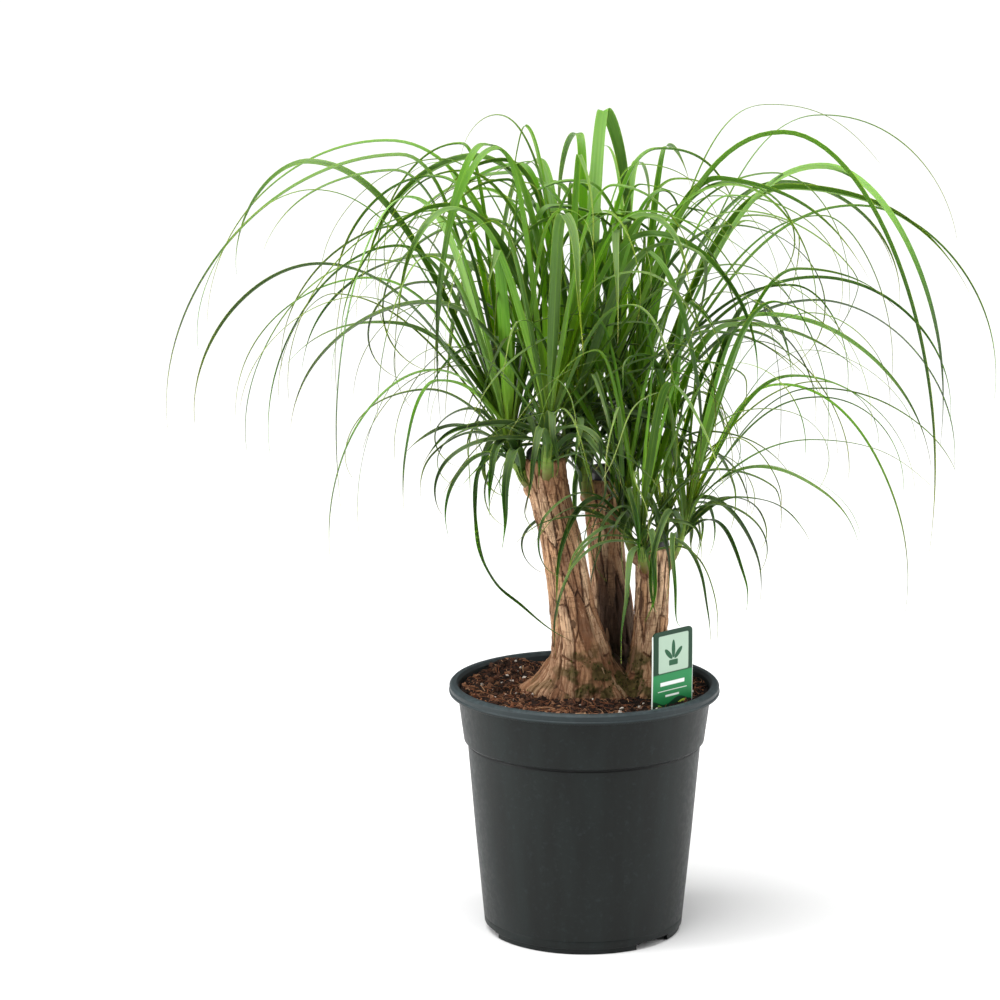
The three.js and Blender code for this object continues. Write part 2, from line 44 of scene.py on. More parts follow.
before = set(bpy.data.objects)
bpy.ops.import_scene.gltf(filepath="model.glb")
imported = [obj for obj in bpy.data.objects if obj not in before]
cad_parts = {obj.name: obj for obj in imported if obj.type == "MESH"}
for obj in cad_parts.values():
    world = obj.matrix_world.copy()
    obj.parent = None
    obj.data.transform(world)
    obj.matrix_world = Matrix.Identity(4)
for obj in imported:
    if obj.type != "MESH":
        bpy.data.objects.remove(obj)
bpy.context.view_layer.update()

MM = 0.001
UP = np.array([0.0, 0.0, 1.0])
BODY = "root"


# ---- numbers shared by the pieces ----


def screen(red, green, blue):
    """A colour as a screen shows it, from 0 to 255, as linear red, green and blue."""
    shares = np.array([red, green, blue]) / 255
    return tuple(np.where(shares <= 0.04045, shares / 12.92, ((shares + 0.055) / 1.055) ** 2.4))


def smooth_step(value, low, high):
    """0 up to low, 1 from high on, and a smooth rise between them."""
    share = np.clip((value - low) / (high - low), 0, 1)
    return share * share * (3 - 2 * share)


EDGE_DIRECTIONS = np.array(
    [(a, b, 0) for a in (-1, 1) for b in (-1, 1)]
    + [(a, 0, b) for a in (-1, 1) for b in (-1, 1)]
    + [(0, a, b) for a in (-1, 1) for b in (-1, 1)],
    float,
)


def scrambled(cells, seed):
    """A repeatable whole number for each row of whole numbers."""
    mixed = cells @ np.array([73856093, 19349663, 83492791]) + seed * 40503
    mixed = ((mixed ^ (mixed >> 13)) * 1274126177) & 0x7FFFFFFF
    return mixed ^ (mixed >> 16)


def noise_at(points, seed):
    """Smooth noise, about -1 to 1, at each row of points."""
    cells = np.floor(points).astype(np.int64)
    inside = points - cells
    ease = inside**3 * (inside * (inside * 6 - 15) + 10)
    total = np.zeros(len(points))
    for corner in np.ndindex(2, 2, 2):
        directions = EDGE_DIRECTIONS[scrambled(cells + corner, seed) % len(EDGE_DIRECTIONS)]
        weight = np.prod(np.where(corner, ease, 1 - ease), axis=1)
        total += weight * np.sum(directions * (inside - corner), axis=1)
    return total


def layered_noise(points, seed, layers=3):
    """Noise with finer and weaker layers laid over it."""
    return sum(noise_at(points * 2**k, seed + k) / 2**k for k in range(layers))


def draw(head, leaf, use):
    """A repeatable number from 0 to 1 for each head, leaf and use."""
    wave = math.sin(head * 127.1 + leaf * 311.7 + use * 74.7) * 43758.5453
    return wave - math.floor(wave)


def spread(value, amount):
    """A factor near 1, up to the amount above or below it, from a number from 0 to 1."""
    return 1 + amount * (2 * value - 1)


def curve_through(places, per_span=24):
    """Points along the smooth curve through some places, with the same spacing rule in every span."""
    places = np.array(places, float)
    padded = np.vstack([2 * places[0] - places[1], places, 2 * places[-1] - places[-2]])
    t = np.linspace(0, 1, per_span, endpoint=False)[:, None]
    spans = []
    for a, b, c, d in zip(padded, padded[1:], padded[2:], padded[3:]):
        before, here, after = (math.sqrt(np.linalg.norm(q[:3] - p[:3])) for p, q in ((a, b), (b, c), (c, d)))
        leave = ((b - a) / before - (c - a) / (before + here) + (c - b) / here) * here
        arrive = ((c - b) / here - (d - b) / (here + after) + (d - c) / after) * here
        spans.append(
            (2 * t**3 - 3 * t**2 + 1) * b + (t**3 - 2 * t**2 + t) * leave
            + (3 * t**2 - 2 * t**3) * c + (t**3 - t**2) * arrive
        )
    return np.vstack(spans + [places[-1:]])


def shares_along(path):
    """How far along a path each of its places lies, from 0 to 1."""
    lengths = np.concatenate([[0], np.cumsum(np.linalg.norm(np.diff(path[:, :3], axis=0), axis=1))])
    return lengths / lengths[-1]


def place_at(path, share):
    """The place, or places, at a share of a path's length."""
    along = shares_along(path)
    return np.stack([np.interp(share, along, path[:, axis]) for axis in range(path.shape[1])], axis=-1)


def unit(vectors):
    """The same directions, each with a length of 1."""
    return vectors / np.linalg.norm(vectors, axis=-1, keepdims=True)


def heading(angle):
    """The level direction at an angle in plan."""
    return np.array([math.cos(angle), math.sin(angle), 0])


def tangents_of(path):
    """The direction in which a path runs at each of its places."""
    return unit(np.gradient(path, axis=0))


def spaced_by_bend(path, count, bend_weight=30):
    """Places along a path that lie closer together where it bends."""
    steps = np.linalg.norm(np.diff(path, axis=0), axis=1)
    turns = np.linalg.norm(np.diff(tangents_of(path), axis=0), axis=1)
    effort = np.concatenate([[0], np.cumsum(steps + bend_weight * turns)])
    wanted = np.linspace(0, effort[-1], count)
    return np.stack([np.interp(wanted, effort, path[:, axis]) for axis in range(3)], axis=-1)


def bent_about(path, axis, angles):
    """The path with each of its steps turned about an axis, by an angle that changes along it."""
    steps = np.diff(path, axis=0)
    turn = (0.5 * (angles[1:] + angles[:-1]))[:, None]
    along = axis * (steps @ axis)[:, None]
    turned = steps * np.cos(turn) + np.cross(axis, steps) * np.sin(turn) + along * (1 - np.cos(turn))
    return np.vstack([path[:1], path[0] + np.cumsum(turned, axis=0)])


def twisted(side, tangents, angles):
    """The sideways directions of a path, turned about it by an angle at each place."""
    return side * np.cos(angles)[:, None] + np.cross(tangents, side) * np.sin(angles)[:, None]


# ---- meshes and objects ----


def mesh_from(name, places, faces, edges=()):
    """A mesh from places in millimetres."""
    mesh = bpy.data.meshes.new(name)
    mesh.from_pydata((np.asarray(places, float) * MM).tolist(), list(edges), [list(face) for face in faces])
    return mesh


def shown(name, mesh, material=None):
    """An object for a mesh, at the origin, in its material."""
    mesh.name = name
    if material:
        mesh.materials.append(material)
    piece = bpy.data.objects.new(name, mesh)
    bpy.context.scene.collection.objects.link(piece)
    return piece


def mesh_of(name, shape):
    """The mesh of an edited shape, which is then let go."""
    mesh = bpy.data.meshes.new(name)
    shape.to_mesh(mesh)
    shape.free()
    return mesh


def ring_faces(ring_count, sides, capped=True):
    """The faces of a skin over rings with the same number of corners. Caps close its two ends."""
    faces = []
    for ring in range(ring_count - 1):
        for side in range(sides):
            here = ring * sides + side
            beside = ring * sides + (side + 1) % sides
            faces.append((here, beside, beside + sides, here + sides))
    if capped:
        faces.append(tuple(reversed(range(sides))))
        faces.append(tuple(range((ring_count - 1) * sides, ring_count * sides)))
    return faces


def apply_modifiers(piece):
    """Gives the object the mesh that its modifiers make, as a plain mesh, and removes them."""
    graph = bpy.context.evaluated_depsgraph_get()
    finished = bpy.data.meshes.new_from_object(piece.evaluated_get(graph))
    piece.modifiers.clear()
    unfinished = piece.data
    piece.data = finished
    piece.data.name = piece.name
    bpy.data.meshes.remove(unfinished)


def discard(piece):
    """Removes a helping object and its mesh."""
    mesh = piece.data
    bpy.data.objects.remove(piece)
    bpy.data.meshes.remove(mesh)


def store(mesh, **marks):
    """Stores named numbers or vectors for the corners of a mesh."""
    for name, values in marks.items():
        kind, field = ("FLOAT", "value") if values.ndim == 1 else ("FLOAT_VECTOR", "vector")
        mark = mesh.attributes.new(name, kind, "POINT")
        mark.data.foreach_set(field, np.asarray(values, np.float32).ravel())


def at_corners(mesh, field):
    """What a mesh holds for each corner: its place as "co", or the way that the surface faces as "normal"."""
    values = np.empty(len(mesh.vertices) * 3)
    mesh.vertices.foreach_get(field, values)
    return values.reshape(-1, 3)


def drop_attributes(mesh, names):
    """Takes off what was stored on a mesh to help shape it, and no material reads."""
    for name in names:
        if name in mesh.attributes:
            mesh.attributes.remove(mesh.attributes[name])


def corners_of(mesh):
    """The mesh's corners in millimetres."""
    return at_corners(mesh, "co") / MM


def move_corners(mesh, places):
    """Moves the mesh's corners to places in millimetres."""
    mesh.vertices.foreach_set("co", (places * MM).ravel())
    mesh.update()


def shade(mesh, sharp_angle=None):
    """Shades the mesh as smooth, with sharp edges past an angle in degrees."""
    mesh.shade_smooth()
    if sharp_angle is not None:
        mesh.set_sharp_from_angle(angle=math.radians(sharp_angle))


def keep(piece, slot, *nodes):
    """Puts a finished piece on the body, in place of the nodes that it stands for. The slot is not used."""
    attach(piece, BODY)
    if nodes:
        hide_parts(*nodes)


# ---- node trees ----


def put(tree, kind, inputs=None, **settings):
    """Adds a node. Each of its inputs gets a value, or the output of another node."""
    node = tree.nodes.new(kind)
    for name, value in settings.items():
        setattr(node, name, value)
    for name, value in (inputs or {}).items():
        socket = node.inputs[name] if isinstance(name, int) else next(
            socket for socket in node.inputs if socket.name == name and socket.enabled
        )
        if isinstance(value, bpy.types.NodeSocket):
            tree.links.new(value, socket)
        else:
            socket.default_value = value
    return node


def result(node, name=None):
    """The node's output in use: the one with this name, or the first."""
    return next(socket for socket in node.outputs if socket.enabled and name in (None, socket.name))


def maths(tree, operation, *values):
    """A sum done on numbers or on the outputs of nodes."""
    return put(tree, "ShaderNodeMath", dict(enumerate(values)), operation=operation).outputs[0]


def times(tree, first, second):
    return maths(tree, "MULTIPLY", first, second)


def vector_maths(tree, operation, *values, scale=None):
    """A sum done on vectors."""
    inputs = dict(enumerate(values))
    if scale is not None:
        inputs["Scale"] = scale
    return put(tree, "ShaderNodeVectorMath", inputs, operation=operation).outputs["Vector"]


def mixed(tree, factor, first, second, blend="MIX"):
    """A mix of two colours: the first where the factor is 0, and the second where it is 1."""
    colours = [value if isinstance(value, bpy.types.NodeSocket) else (*value, 1) for value in (first, second)]
    inputs = {"Factor": factor, "A": colours[0], "B": colours[1]}
    return result(put(tree, "ShaderNodeMix", inputs, data_type="RGBA", blend_type=blend))


def stepped(tree, value, low, high, start=0.0, end=1.0):
    """A value that goes smoothly from start to end as another goes from low to high."""
    inputs = {"Value": value, "From Min": low, "From Max": high, "To Min": start, "To Max": end}
    return result(put(tree, "ShaderNodeMapRange", inputs, interpolation_type="SMOOTHSTEP"))


def coated(tree, base, *coats):
    """A colour under coats: each has a value, where on it the coat starts and is full, its cover and colour."""
    for value, start, full, cover, colour in coats:
        base = mixed(tree, stepped(tree, value, start, full, 0.0, cover), base, colour)
    return base


def ramp(tree, value, stops):
    """The colour at a value, from a list of places from 0 to 1 and their colours as a screen shows them."""
    node = put(tree, "ShaderNodeValToRGB", {"Fac": value})
    elements = node.color_ramp.elements
    while len(elements) < len(stops):
        elements.new(1)
    for element, (place, colour) in zip(elements, stops):
        element.position = place
        element.color = (*screen(*colour), 1)
    return node.outputs["Color"]


def pattern(tree, place, size, detail=2.0, roughness=0.5, stretch=(1, 1, 1)):
    """Noise from 0 to 1 whose features have about the given size, in the units of the place."""
    scaled = put(tree, "ShaderNodeMapping", {"Vector": place, "Scale": [share / size for share in stretch]})
    inputs = {"Vector": scaled.outputs[0], "Scale": 1.0, "Detail": detail, "Roughness": roughness}
    return put(tree, "ShaderNodeTexNoise", inputs).outputs["Fac"]


def crack_lines(tree, place, size, width, stretch=(1, 1, 1)):
    """Thin lines between cells of about this size: 1 on a line and 0 off it."""
    moved = vector_maths(tree, "MULTIPLY", place, stretch)
    cells = put(tree, "ShaderNodeTexVoronoi", {"Vector": moved, "Scale": 1 / size}, feature="DISTANCE_TO_EDGE")
    return stepped(tree, cells.outputs["Distance"], width, 0.3 * width)


def attribute(tree, name, output="Fac"):
    """A value that is stored on the mesh, for its material."""
    return put(tree, "ShaderNodeAttribute", attribute_name=name).outputs[output]


def object_place(tree):
    """The place on the object, in metres."""
    return put(tree, "ShaderNodeTexCoord").outputs["Object"]


def part_of(tree, vector, axis):
    """One part of a vector: X, Y or Z."""
    return put(tree, "ShaderNodeSeparateXYZ", {"Vector": vector}).outputs[axis]


def facing_up(tree):
    """How far the surface faces up, from -1 to 1."""
    return part_of(tree, put(tree, "ShaderNodeNewGeometry").outputs["Normal"], "Z")


def bumped(tree, height, distance, strength=1.0, normal=None):
    """A surface direction with a relief, laid over an earlier one where it is given."""
    inputs = {"Height": height, "Distance": distance, "Strength": strength}
    if normal is not None:
        inputs["Normal"] = normal
    return put(tree, "ShaderNodeBump", inputs).outputs["Normal"]


def new_finish(name, roughness, specular=0.5):
    """A material with its tree and its shader."""
    material = bpy.data.materials.new(name)
    material.use_nodes = True
    tree = material.node_tree
    shader = tree.nodes["Principled BSDF"]
    shader.inputs["Roughness"].default_value = roughness
    shader.inputs["Specular IOR Level"].default_value = specular
    return material, tree, shader


def connect(tree, shader, **sources):
    """Links a colour, a roughness and a normal to the shader, whichever are given."""
    names = {"colour": "Base Color", "roughness": "Roughness", "normal": "Normal"}
    for use, source in sources.items():
        tree.links.new(source, shader.inputs[names[use]])


def let_light_in(shader, share, reach, colours):
    """Lets a share of the light pass into a finish, as far as the reach in metres, in some colours less far."""
    shader.inputs["Subsurface Weight"].default_value = share
    shader.inputs["Subsurface Scale"].default_value = reach
    shader.inputs["Subsurface Radius"].default_value = colours


def new_shape_tree(name, inputs):
    """A Geometry Nodes tree with one geometry in and out, and its named inputs."""
    tree = bpy.data.node_groups.new(name, "GeometryNodeTree")
    tree.interface.new_socket("Geometry", in_out="INPUT", socket_type="NodeSocketGeometry")
    for label, kind in inputs.items():
        tree.interface.new_socket(label, in_out="INPUT", socket_type="NodeSocket" + kind)
    tree.interface.new_socket("Geometry", in_out="OUTPUT", socket_type="NodeSocketGeometry")
    return tree, tree.nodes.new("NodeGroupInput").outputs


def close_shape_tree(tree, geometry, material):
    """Ends a tree with real faces in their material."""
    real = put(tree, "GeometryNodeRealizeInstances", {"Geometry": geometry})
    coloured = put(tree, "GeometryNodeSetMaterial", {"Geometry": real.outputs[0], "Material": material})
    tree.links.new(coloured.outputs[0], tree.nodes.new("NodeGroupOutput").inputs[0])


def run_shape_tree(piece, tree, **values):
    """Runs a tree on an object with values for its named inputs, and keeps the mesh that it makes."""
    modifier = piece.modifiers.new(tree.name, "NODES")
    modifier.node_group = tree
    for item in tree.interface.items_tree:
        label = item.name.lower().replace(" ", "_")
        if item.in_out == "INPUT" and label in values:
            modifier[item.identifier] = values[label]
    apply_modifiers(piece)


def named(tree, name, kind="FLOAT"):
    """A value that is stored on the mesh, for a Geometry Nodes tree."""
    node = put(tree, "GeometryNodeInputNamedAttribute", {"Name": name}, data_type=kind)
    return result(node, "Attribute")


# ---- strands: one tree for leaves, fibres and shreds of bark ----

# Each strand: the places up its middle, its sideways direction, half width and fold at each, and its marks.
Strand = namedtuple("Strand", "path across half_width fold marks")
STRAND_SHAPE = ("across", "face", "half_width", "fold")  # what the strand tree reads, and no material does
STRAND_SHARP_ANGLE = 50


def strand_tree():
    """Sweeps a flat, lens-shaped section along each path, as wide as it says, and folds it along its middle."""
    tree, given = new_shape_tree("strand", {"Sides": "Int", "Flatness": "Float", "Material": "Material"})
    circle = put(tree, "GeometryNodeCurvePrimitiveCircle", {"Resolution": given["Sides"], "Radius": 1.0})
    place = put(tree, "GeometryNodeInputPosition").outputs[0]
    split = put(tree, "ShaderNodeSeparateXYZ", {"Vector": place})
    marked = circle.outputs["Curve"]
    for name, source in (("blade_v", split.outputs["X"]), ("blade_top", split.outputs["Y"])):
        store = put(
            tree, "GeometryNodeStoreNamedAttribute", {"Geometry": marked, "Name": name, "Value": source},
            data_type="FLOAT", domain="POINT",
        )
        marked = store.outputs[0]
    lens = put(tree, "ShaderNodeCombineXYZ", {
        "X": split.outputs["X"],
        "Y": times(tree, split.outputs["Y"], given["Flatness"]),
    })
    section = put(tree, "GeometryNodeSetPosition", {"Geometry": marked, "Position": lens.outputs[0]})
    line = put(tree, "GeometryNodeMeshToCurve", {"Mesh": given["Geometry"]})
    across = named(tree, "across", "FLOAT_VECTOR")
    turned = put(tree, "GeometryNodeSetCurveNormal", {"Curve": line.outputs[0], "Normal": across}, mode="FREE")
    swept = put(tree, "GeometryNodeCurveToMesh", {
        "Curve": turned.outputs[0],
        "Profile Curve": section.outputs[0],
        "Scale": named(tree, "half_width"),
        "Fill Caps": True,
    })
    fold = named(tree, "fold")
    side = times(tree, named(tree, "blade_v"), named(tree, "half_width"))
    inward = times(tree, side, maths(tree, "SUBTRACT", maths(tree, "COSINE", fold), 1.0))
    lift = times(tree, maths(tree, "ABSOLUTE", side), maths(tree, "SINE", fold))
    offset = vector_maths(
        tree, "ADD",
        vector_maths(tree, "SCALE", across, scale=inward),
        vector_maths(tree, "SCALE", named(tree, "face", "FLOAT_VECTOR"), scale=lift),
    )
    folded = put(tree, "GeometryNodeSetPosition", {"Geometry": swept.outputs[0], "Offset": offset})
    close_shape_tree(tree, folded.outputs[0], given["Material"])
    return tree


def strands_piece(name, strands, tree, material, sides, flatness):
    """One object with every strand in it. A strand's marks are kept as attributes for its material."""
    places, edges, columns = [], [], {}
    first = 0
    for strand in strands:
        places.append(strand.path)
        edges += [(first + k, first + k + 1) for k in range(len(strand.path) - 1)]
        face = np.cross(tangents_of(strand.path), strand.across)
        vectors = {"across": strand.across, "face": face}
        numbers = {"half_width": strand.half_width * MM, "fold": strand.fold, **strand.marks}
        for label, values in {**vectors, **numbers}.items():
            shape = (len(strand.path), 3) if label in vectors else (len(strand.path),)
            columns.setdefault(label, []).append(np.broadcast_to(values, shape))
        first += len(strand.path)
    mesh = mesh_from(name, np.vstack(places), [], edges)
    store(mesh, **{label: np.concatenate(values) for label, values in columns.items()})
    piece = shown(name, mesh)
    run_shape_tree(piece, tree, sides=sides, flatness=flatness, material=material)
    drop_attributes(piece.data, STRAND_SHAPE)
    shade(piece.data, STRAND_SHARP_ANGLE)
    return piece


# ---- the canes: where everything grows ----

# Each limb of the trunk: places up its middle as x, y, z, radius across and radius front to back.
LIMBS = {
    "base": [(0, 0, 168, 34, 26), (0, 0, 198, 50, 37), (0, 0, 218, 56, 41), (0, -3, 231, 42, 33),
             (-1, -5, 247, 30, 24), (-2, -7, 262, 16, 13)],
    "left": [(0, -8, 196, 34, 30), (-1, -12, 222, 33, 29), (-3, -14, 257, 25, 23), (-11, -18, 299, 19.5, 19),
             (-21, -22, 356, 17.5, 17.5), (-32, -25, 402, 17, 17), (-36, -27, 431, 17, 17)],
    "middle": [(28, 18, 196, 27, 26), (30, 29, 232, 20.5, 20), (26, 32, 288, 17, 17), (20, 34, 337, 15.5, 15.5),
               (14, 36, 401, 16, 16)],
    "right": [(42, -10, 196, 27, 25), (52, -14, 222, 20, 20), (56, -12, 256, 15.5, 16), (59, -10, 297, 14.5, 14.5),
              (60, -10, 349, 14.5, 14.5)],
}
LIMB_AXES = {name: curve_through(places) for name, places in LIMBS.items()}

# Wax on the cut tops: the cane, the shift from its middle as x and y, the radius and the height.
CAPS = {
    "wound_wax_left": ("left", (-3, 1), 13, 11),
    "wound_wax_middle": ("middle", (2, 1), 13, 13),
    "wound_wax_right": ("right", (0, 0), 13.3, 13),
}


def limb_at(name, heights):
    """The limb's middle and radii at each height."""
    axis = LIMB_AXES[name]
    return [np.interp(heights, axis[:, 2], axis[:, k]) for k in (0, 1, 3, 4)]


# ---- leaves ----

# Each head: the places up its shoot, the shoot's radius, its number of leaves, how long they are and how far
# they hang as shares of AGES, and how far their tips lean away from the other heads, as x and y.
Head = namedtuple("Head", "name shoot radius leaves span hang lean")
HEADS = [
    Head("head_left_outer", [(-42, -26, 401), (-50, -27, 409), (-60, -27, 428), (-66, -27, 448), (-68, -27, 468)],
         6.5, 28, 1, 1, (-22, -8)),
    Head("head_left_front", [(-34, -35, 411), (-34, -44.5, 421), (-33.5, -49, 445), (-32.5, -50, 484)],
         5.5, 22, 0.9, 1, (-4, -26)),
    Head("head_left_back", [(-27, -18.5, 416), (-21, -12, 425), (-15, -7, 455), (-11, -3, 488)],
         5.5, 22, 1, 1, (-8, 12)),
    Head("head_middle_front", [(8, 27, 382), (2, 19, 392), (0, 15, 413), (2.6, 14, 449), (6, 16, 476)],
         6.5, 26, 1.05, 1, (0, -8)),
    Head("head_middle_right", [(24, 38, 388), (35, 40.5, 399), (45, 42, 430), (50, 43, 470)],
         6, 24, 1.05, 1, (22, 8)),
    Head("head_middle_back", [(20, 45, 369), (24, 54, 382), (28, 59, 430), (30, 62, 460)],
         5.5, 22, 1, 1, (4, 26)),
    Head("head_right_left", [(50, -12, 336), (44, -14, 343), (36, -15.5, 366), (32, -16, 408)],
         5, 13, 0.66, 0.45, (-6, -10)),
    Head("head_right_front", [(56, -19, 326), (52, -26, 334), (49, -31, 360), (47.5, -31, 390)],
         5, 16, 0.7, 0.45, (4, -20)),
    Head("head_right_outer", [(69, -11.5, 332), (76, -12, 340), (84, -12, 360), (91, -12, 392)],
         5, 16, 0.8, 0.6, (24, -4)),
    Head("head_right_back", [(64, -1, 333), (67, 6, 342), (69.5, 12, 362), (70, 14, 390)],
         5, 13, 0.75, 0.5, (12, 14)),
]

# How a leaf weeps at each age, from the youngest in the middle of a head to the oldest at its foot. It rises
# and runs out to its highest point. Its tip reaches out from the root, and falls from the highest point. Root
# is its height on the shoot, as a share of the shoot's length.
AGES = {
    "age": (0, 0.15, 0.4, 0.65, 0.85, 1),
    "rise": (165, 208, 208, 146, 74, 20),
    "out": (16, 80, 122, 134, 92, 42),
    "reach": (34, 166, 232, 245, 172, 84),
    "fall": (12, 68, 120, 138, 110, 78),
    "width": (9, 13, 13.5, 11.5, 10, 8.5),
    "root": (0.97, 0.92, 0.86, 0.77, 0.67, 0.55),
}
GOLDEN_ANGLE = 137.508
CROWN_RADIUS = 340
CROWN_TOP = 702
SIDEWAYS_TURN = 22  # how many degrees a leaf at the front or back may turn towards a side
FRONT_LIFT = 0.35  # share by which a leaf at the front hangs less
STEEPEST_TIP = math.radians(97)
SHORTEST_RUN = 12  # from a leaf's highest point out to its tip
ROOT_INSET = 0.4  # where a leaf's root is, as a share of the shoot's radius

# Leaves that stand out on this plant, by head: plan angle, rise, out, reach, fall, width and sideways sway.
OUTSTANDING = {
    "head_left_outer": [
        (-160, 200, 90, 150, 275, 13, 0), (150, 240, 45, 130, 145, 8, 0), (180, 230, 90, 292, 245, 10, 0),
        (190, 155, 95, 205, 180, 9, 0), (172, 125, 120, 238, 130, 8, 0), (165, 85, 100, 200, 45, 8, 0),
        (-170, 50, 65, 155, 165, 9, 10), (-155, 45, 65, 95, 110, 10, 0),
    ],
    "head_left_front": [(-150, 225, 50, 105, 185, 12, 0), (-85, 180, 130, 285, 90, 12, 0)],
    "head_left_back": [
        (170, 220, 160, 325, 165, 8, 0), (-140, 225, 98, 145, 235, 11, 0), (100, 190, 130, 300, 210, 9, 20),
    ],
    "head_middle_front": [
        (75, 262, 8, 34, 160, 15, -24), (165, 255, 82, 115, 50, 8, 0), (-5, 245, 163, 295, 375, 12, 0),
        (-45, 145, 55, 125, 190, 14, 0),
    ],
    "head_middle_right": [
        (20, 255, 165, 305, 115, 7, 0), (-12, 215, 157, 262, 250, 13, 0), (0, 180, 186, 311, 175, 9, 0),
        (-22, 95, 120, 265, 125, 9, 0), (8, 112, 152, 280, 135, 9, 0),
    ],
    "head_middle_back": [(30, 272, 150, 280, 60, 6, 0), (88, 180, 130, 270, 220, 9, 0)],
    "head_right_outer": [
        (15, 110, 92, 208, 110, 9, 0), (0, 95, 110, 185, 85, 8, 0), (-15, 65, 112, 213, 40, 8, 0),
        (-25, 40, 70, 156, 60, 9, 0), (25, 100, 84, 222, 225, 8, 0),
    ],
    "head_right_front": [(-80, 135, 130, 290, 55, 10, 0)],
}
OUTSTANDING_ROWS = [(name, row) for name, rows in OUTSTANDING.items() for row in rows]

# Which of those rows are thin blades that light shines through, painted pale for the glow of that light, and the
# tint that marks one.
PALE_LEAVES = (0, 13, 18)
PALE_TINT = 1

# Turns in degrees and lifts that are tried, in order, for a leaf that would touch what it has to pass.
NUDGES = [
    (0, 1), (4, 1), (-4, 1), (8, 1), (-8, 1), (4, 1.06), (-5, 0.94), (12, 1.04), (-12, 0.96), (18, 1), (-18, 1),
]

# Lean is 1 for a leaf that leans with its head, and otherwise 0. The limit and the ceiling hold a leaf inside
# the crown. Age runs from 0 for the youngest to 1 for the old leaves round the foot of a shoot.
LEAF_FIELDS = "azimuth rise out reach fall width sway twist root age tint lean limit ceiling"
Leaf = namedtuple("Leaf", LEAF_FIELDS, defaults=[0, CROWN_RADIUS, CROWN_TOP])
OLD_AGE = 1


def grown_leaf(head, index, k):
    """Leaf number k of a head, by its age and the golden angle."""
    age = min(1, (k + draw(index, k, 1)) / head.leaves)
    rule = {use: float(np.interp(age, AGES["age"], values)) for use, values in AGES.items()}
    vigour = head.span * spread(draw(index, k, 2), 0.16)
    turn = GOLDEN_ANGLE * k + 40 * index + 16 * (draw(index, k, 3) - 0.5)
    return Leaf(
        azimuth=turn - SIDEWAYS_TURN * math.sin(2 * math.radians(turn)),
        rise=rule["rise"] * vigour * spread(draw(index, k, 4), 0.14),
        out=rule["out"] * vigour * spread(draw(index, k, 5), 0.3),
        reach=rule["reach"] * vigour * spread(draw(index, k, 6), 0.14),
        fall=rule["fall"] * head.hang * spread(draw(index, k, 7), 0.35),
        width=rule["width"] * spread(draw(index, k, 8), 0.2),
        sway=70 * (draw(index, k, 9) - 0.5) * (0.3 + age),
        twist=120 * (draw(index, k, 10) - 0.5),
        root=rule["root"],
        lean=1,
        age=age,
        tint=0.9 * draw(index, k, 11),
    )


def outstanding_leaf(row, k):
    """Row number k of the leaves that stand out. The crown's limit doesn't hold it."""
    pale = k in PALE_LEAVES
    return Leaf(
        *row,
        twist=0,
        root=0.86 + 0.1 * draw(99, k, 1),
        limit=math.inf,
        ceiling=math.inf,
        age=0 if pale else 0.15 + 0.4 * draw(98, k, 1),
        tint=PALE_TINT if pale else 0.9 * draw(98, k, 2),
    )


def old_leaf(head, index, k):
    """One of the short, dark old leaves that hang round the foot of a shoot, away from its cane."""
    start, end = np.array(head.shoot[0][:2]), np.array(head.shoot[-1][:2])
    outwards = math.degrees(math.atan2(*(end - start)[::-1]))
    length = draw(index, k, 53)
    return Leaf(
        azimuth=outwards + 270 * (draw(index, k, 51) - 0.5),
        rise=6 + 30 * draw(index, k, 52),
        out=20 + 34 * length,
        reach=44 + 78 * length,
        fall=18 + 84 * draw(index, k, 54),
        width=(8 + 5 * draw(index, k, 55)) * (0.9 if on_right_cane(head) else 1),
        sway=46 * (draw(index, k, 56) - 0.5),
        twist=130 * (draw(index, k, 57) - 0.5),
        root=0.3 + 0.34 * draw(index, k, 58),
        age=OLD_AGE,
        tint=0.9 * draw(index, k, 59),
    )


def on_right_cane(head):
    return head.name.startswith("head_right")


def stands_out(leaf):
    return leaf.limit == math.inf


def arc(start, leave, arrive, end, count=24):
    """Places along a curve from its start to its end, which two places between them pull at."""
    t = np.linspace(0, 1, count + 1)[:, None]
    return (1 - t) ** 3 * start + 3 * (1 - t) ** 2 * t * leave + 3 * (1 - t) * t**2 * arrive + t**3 * end


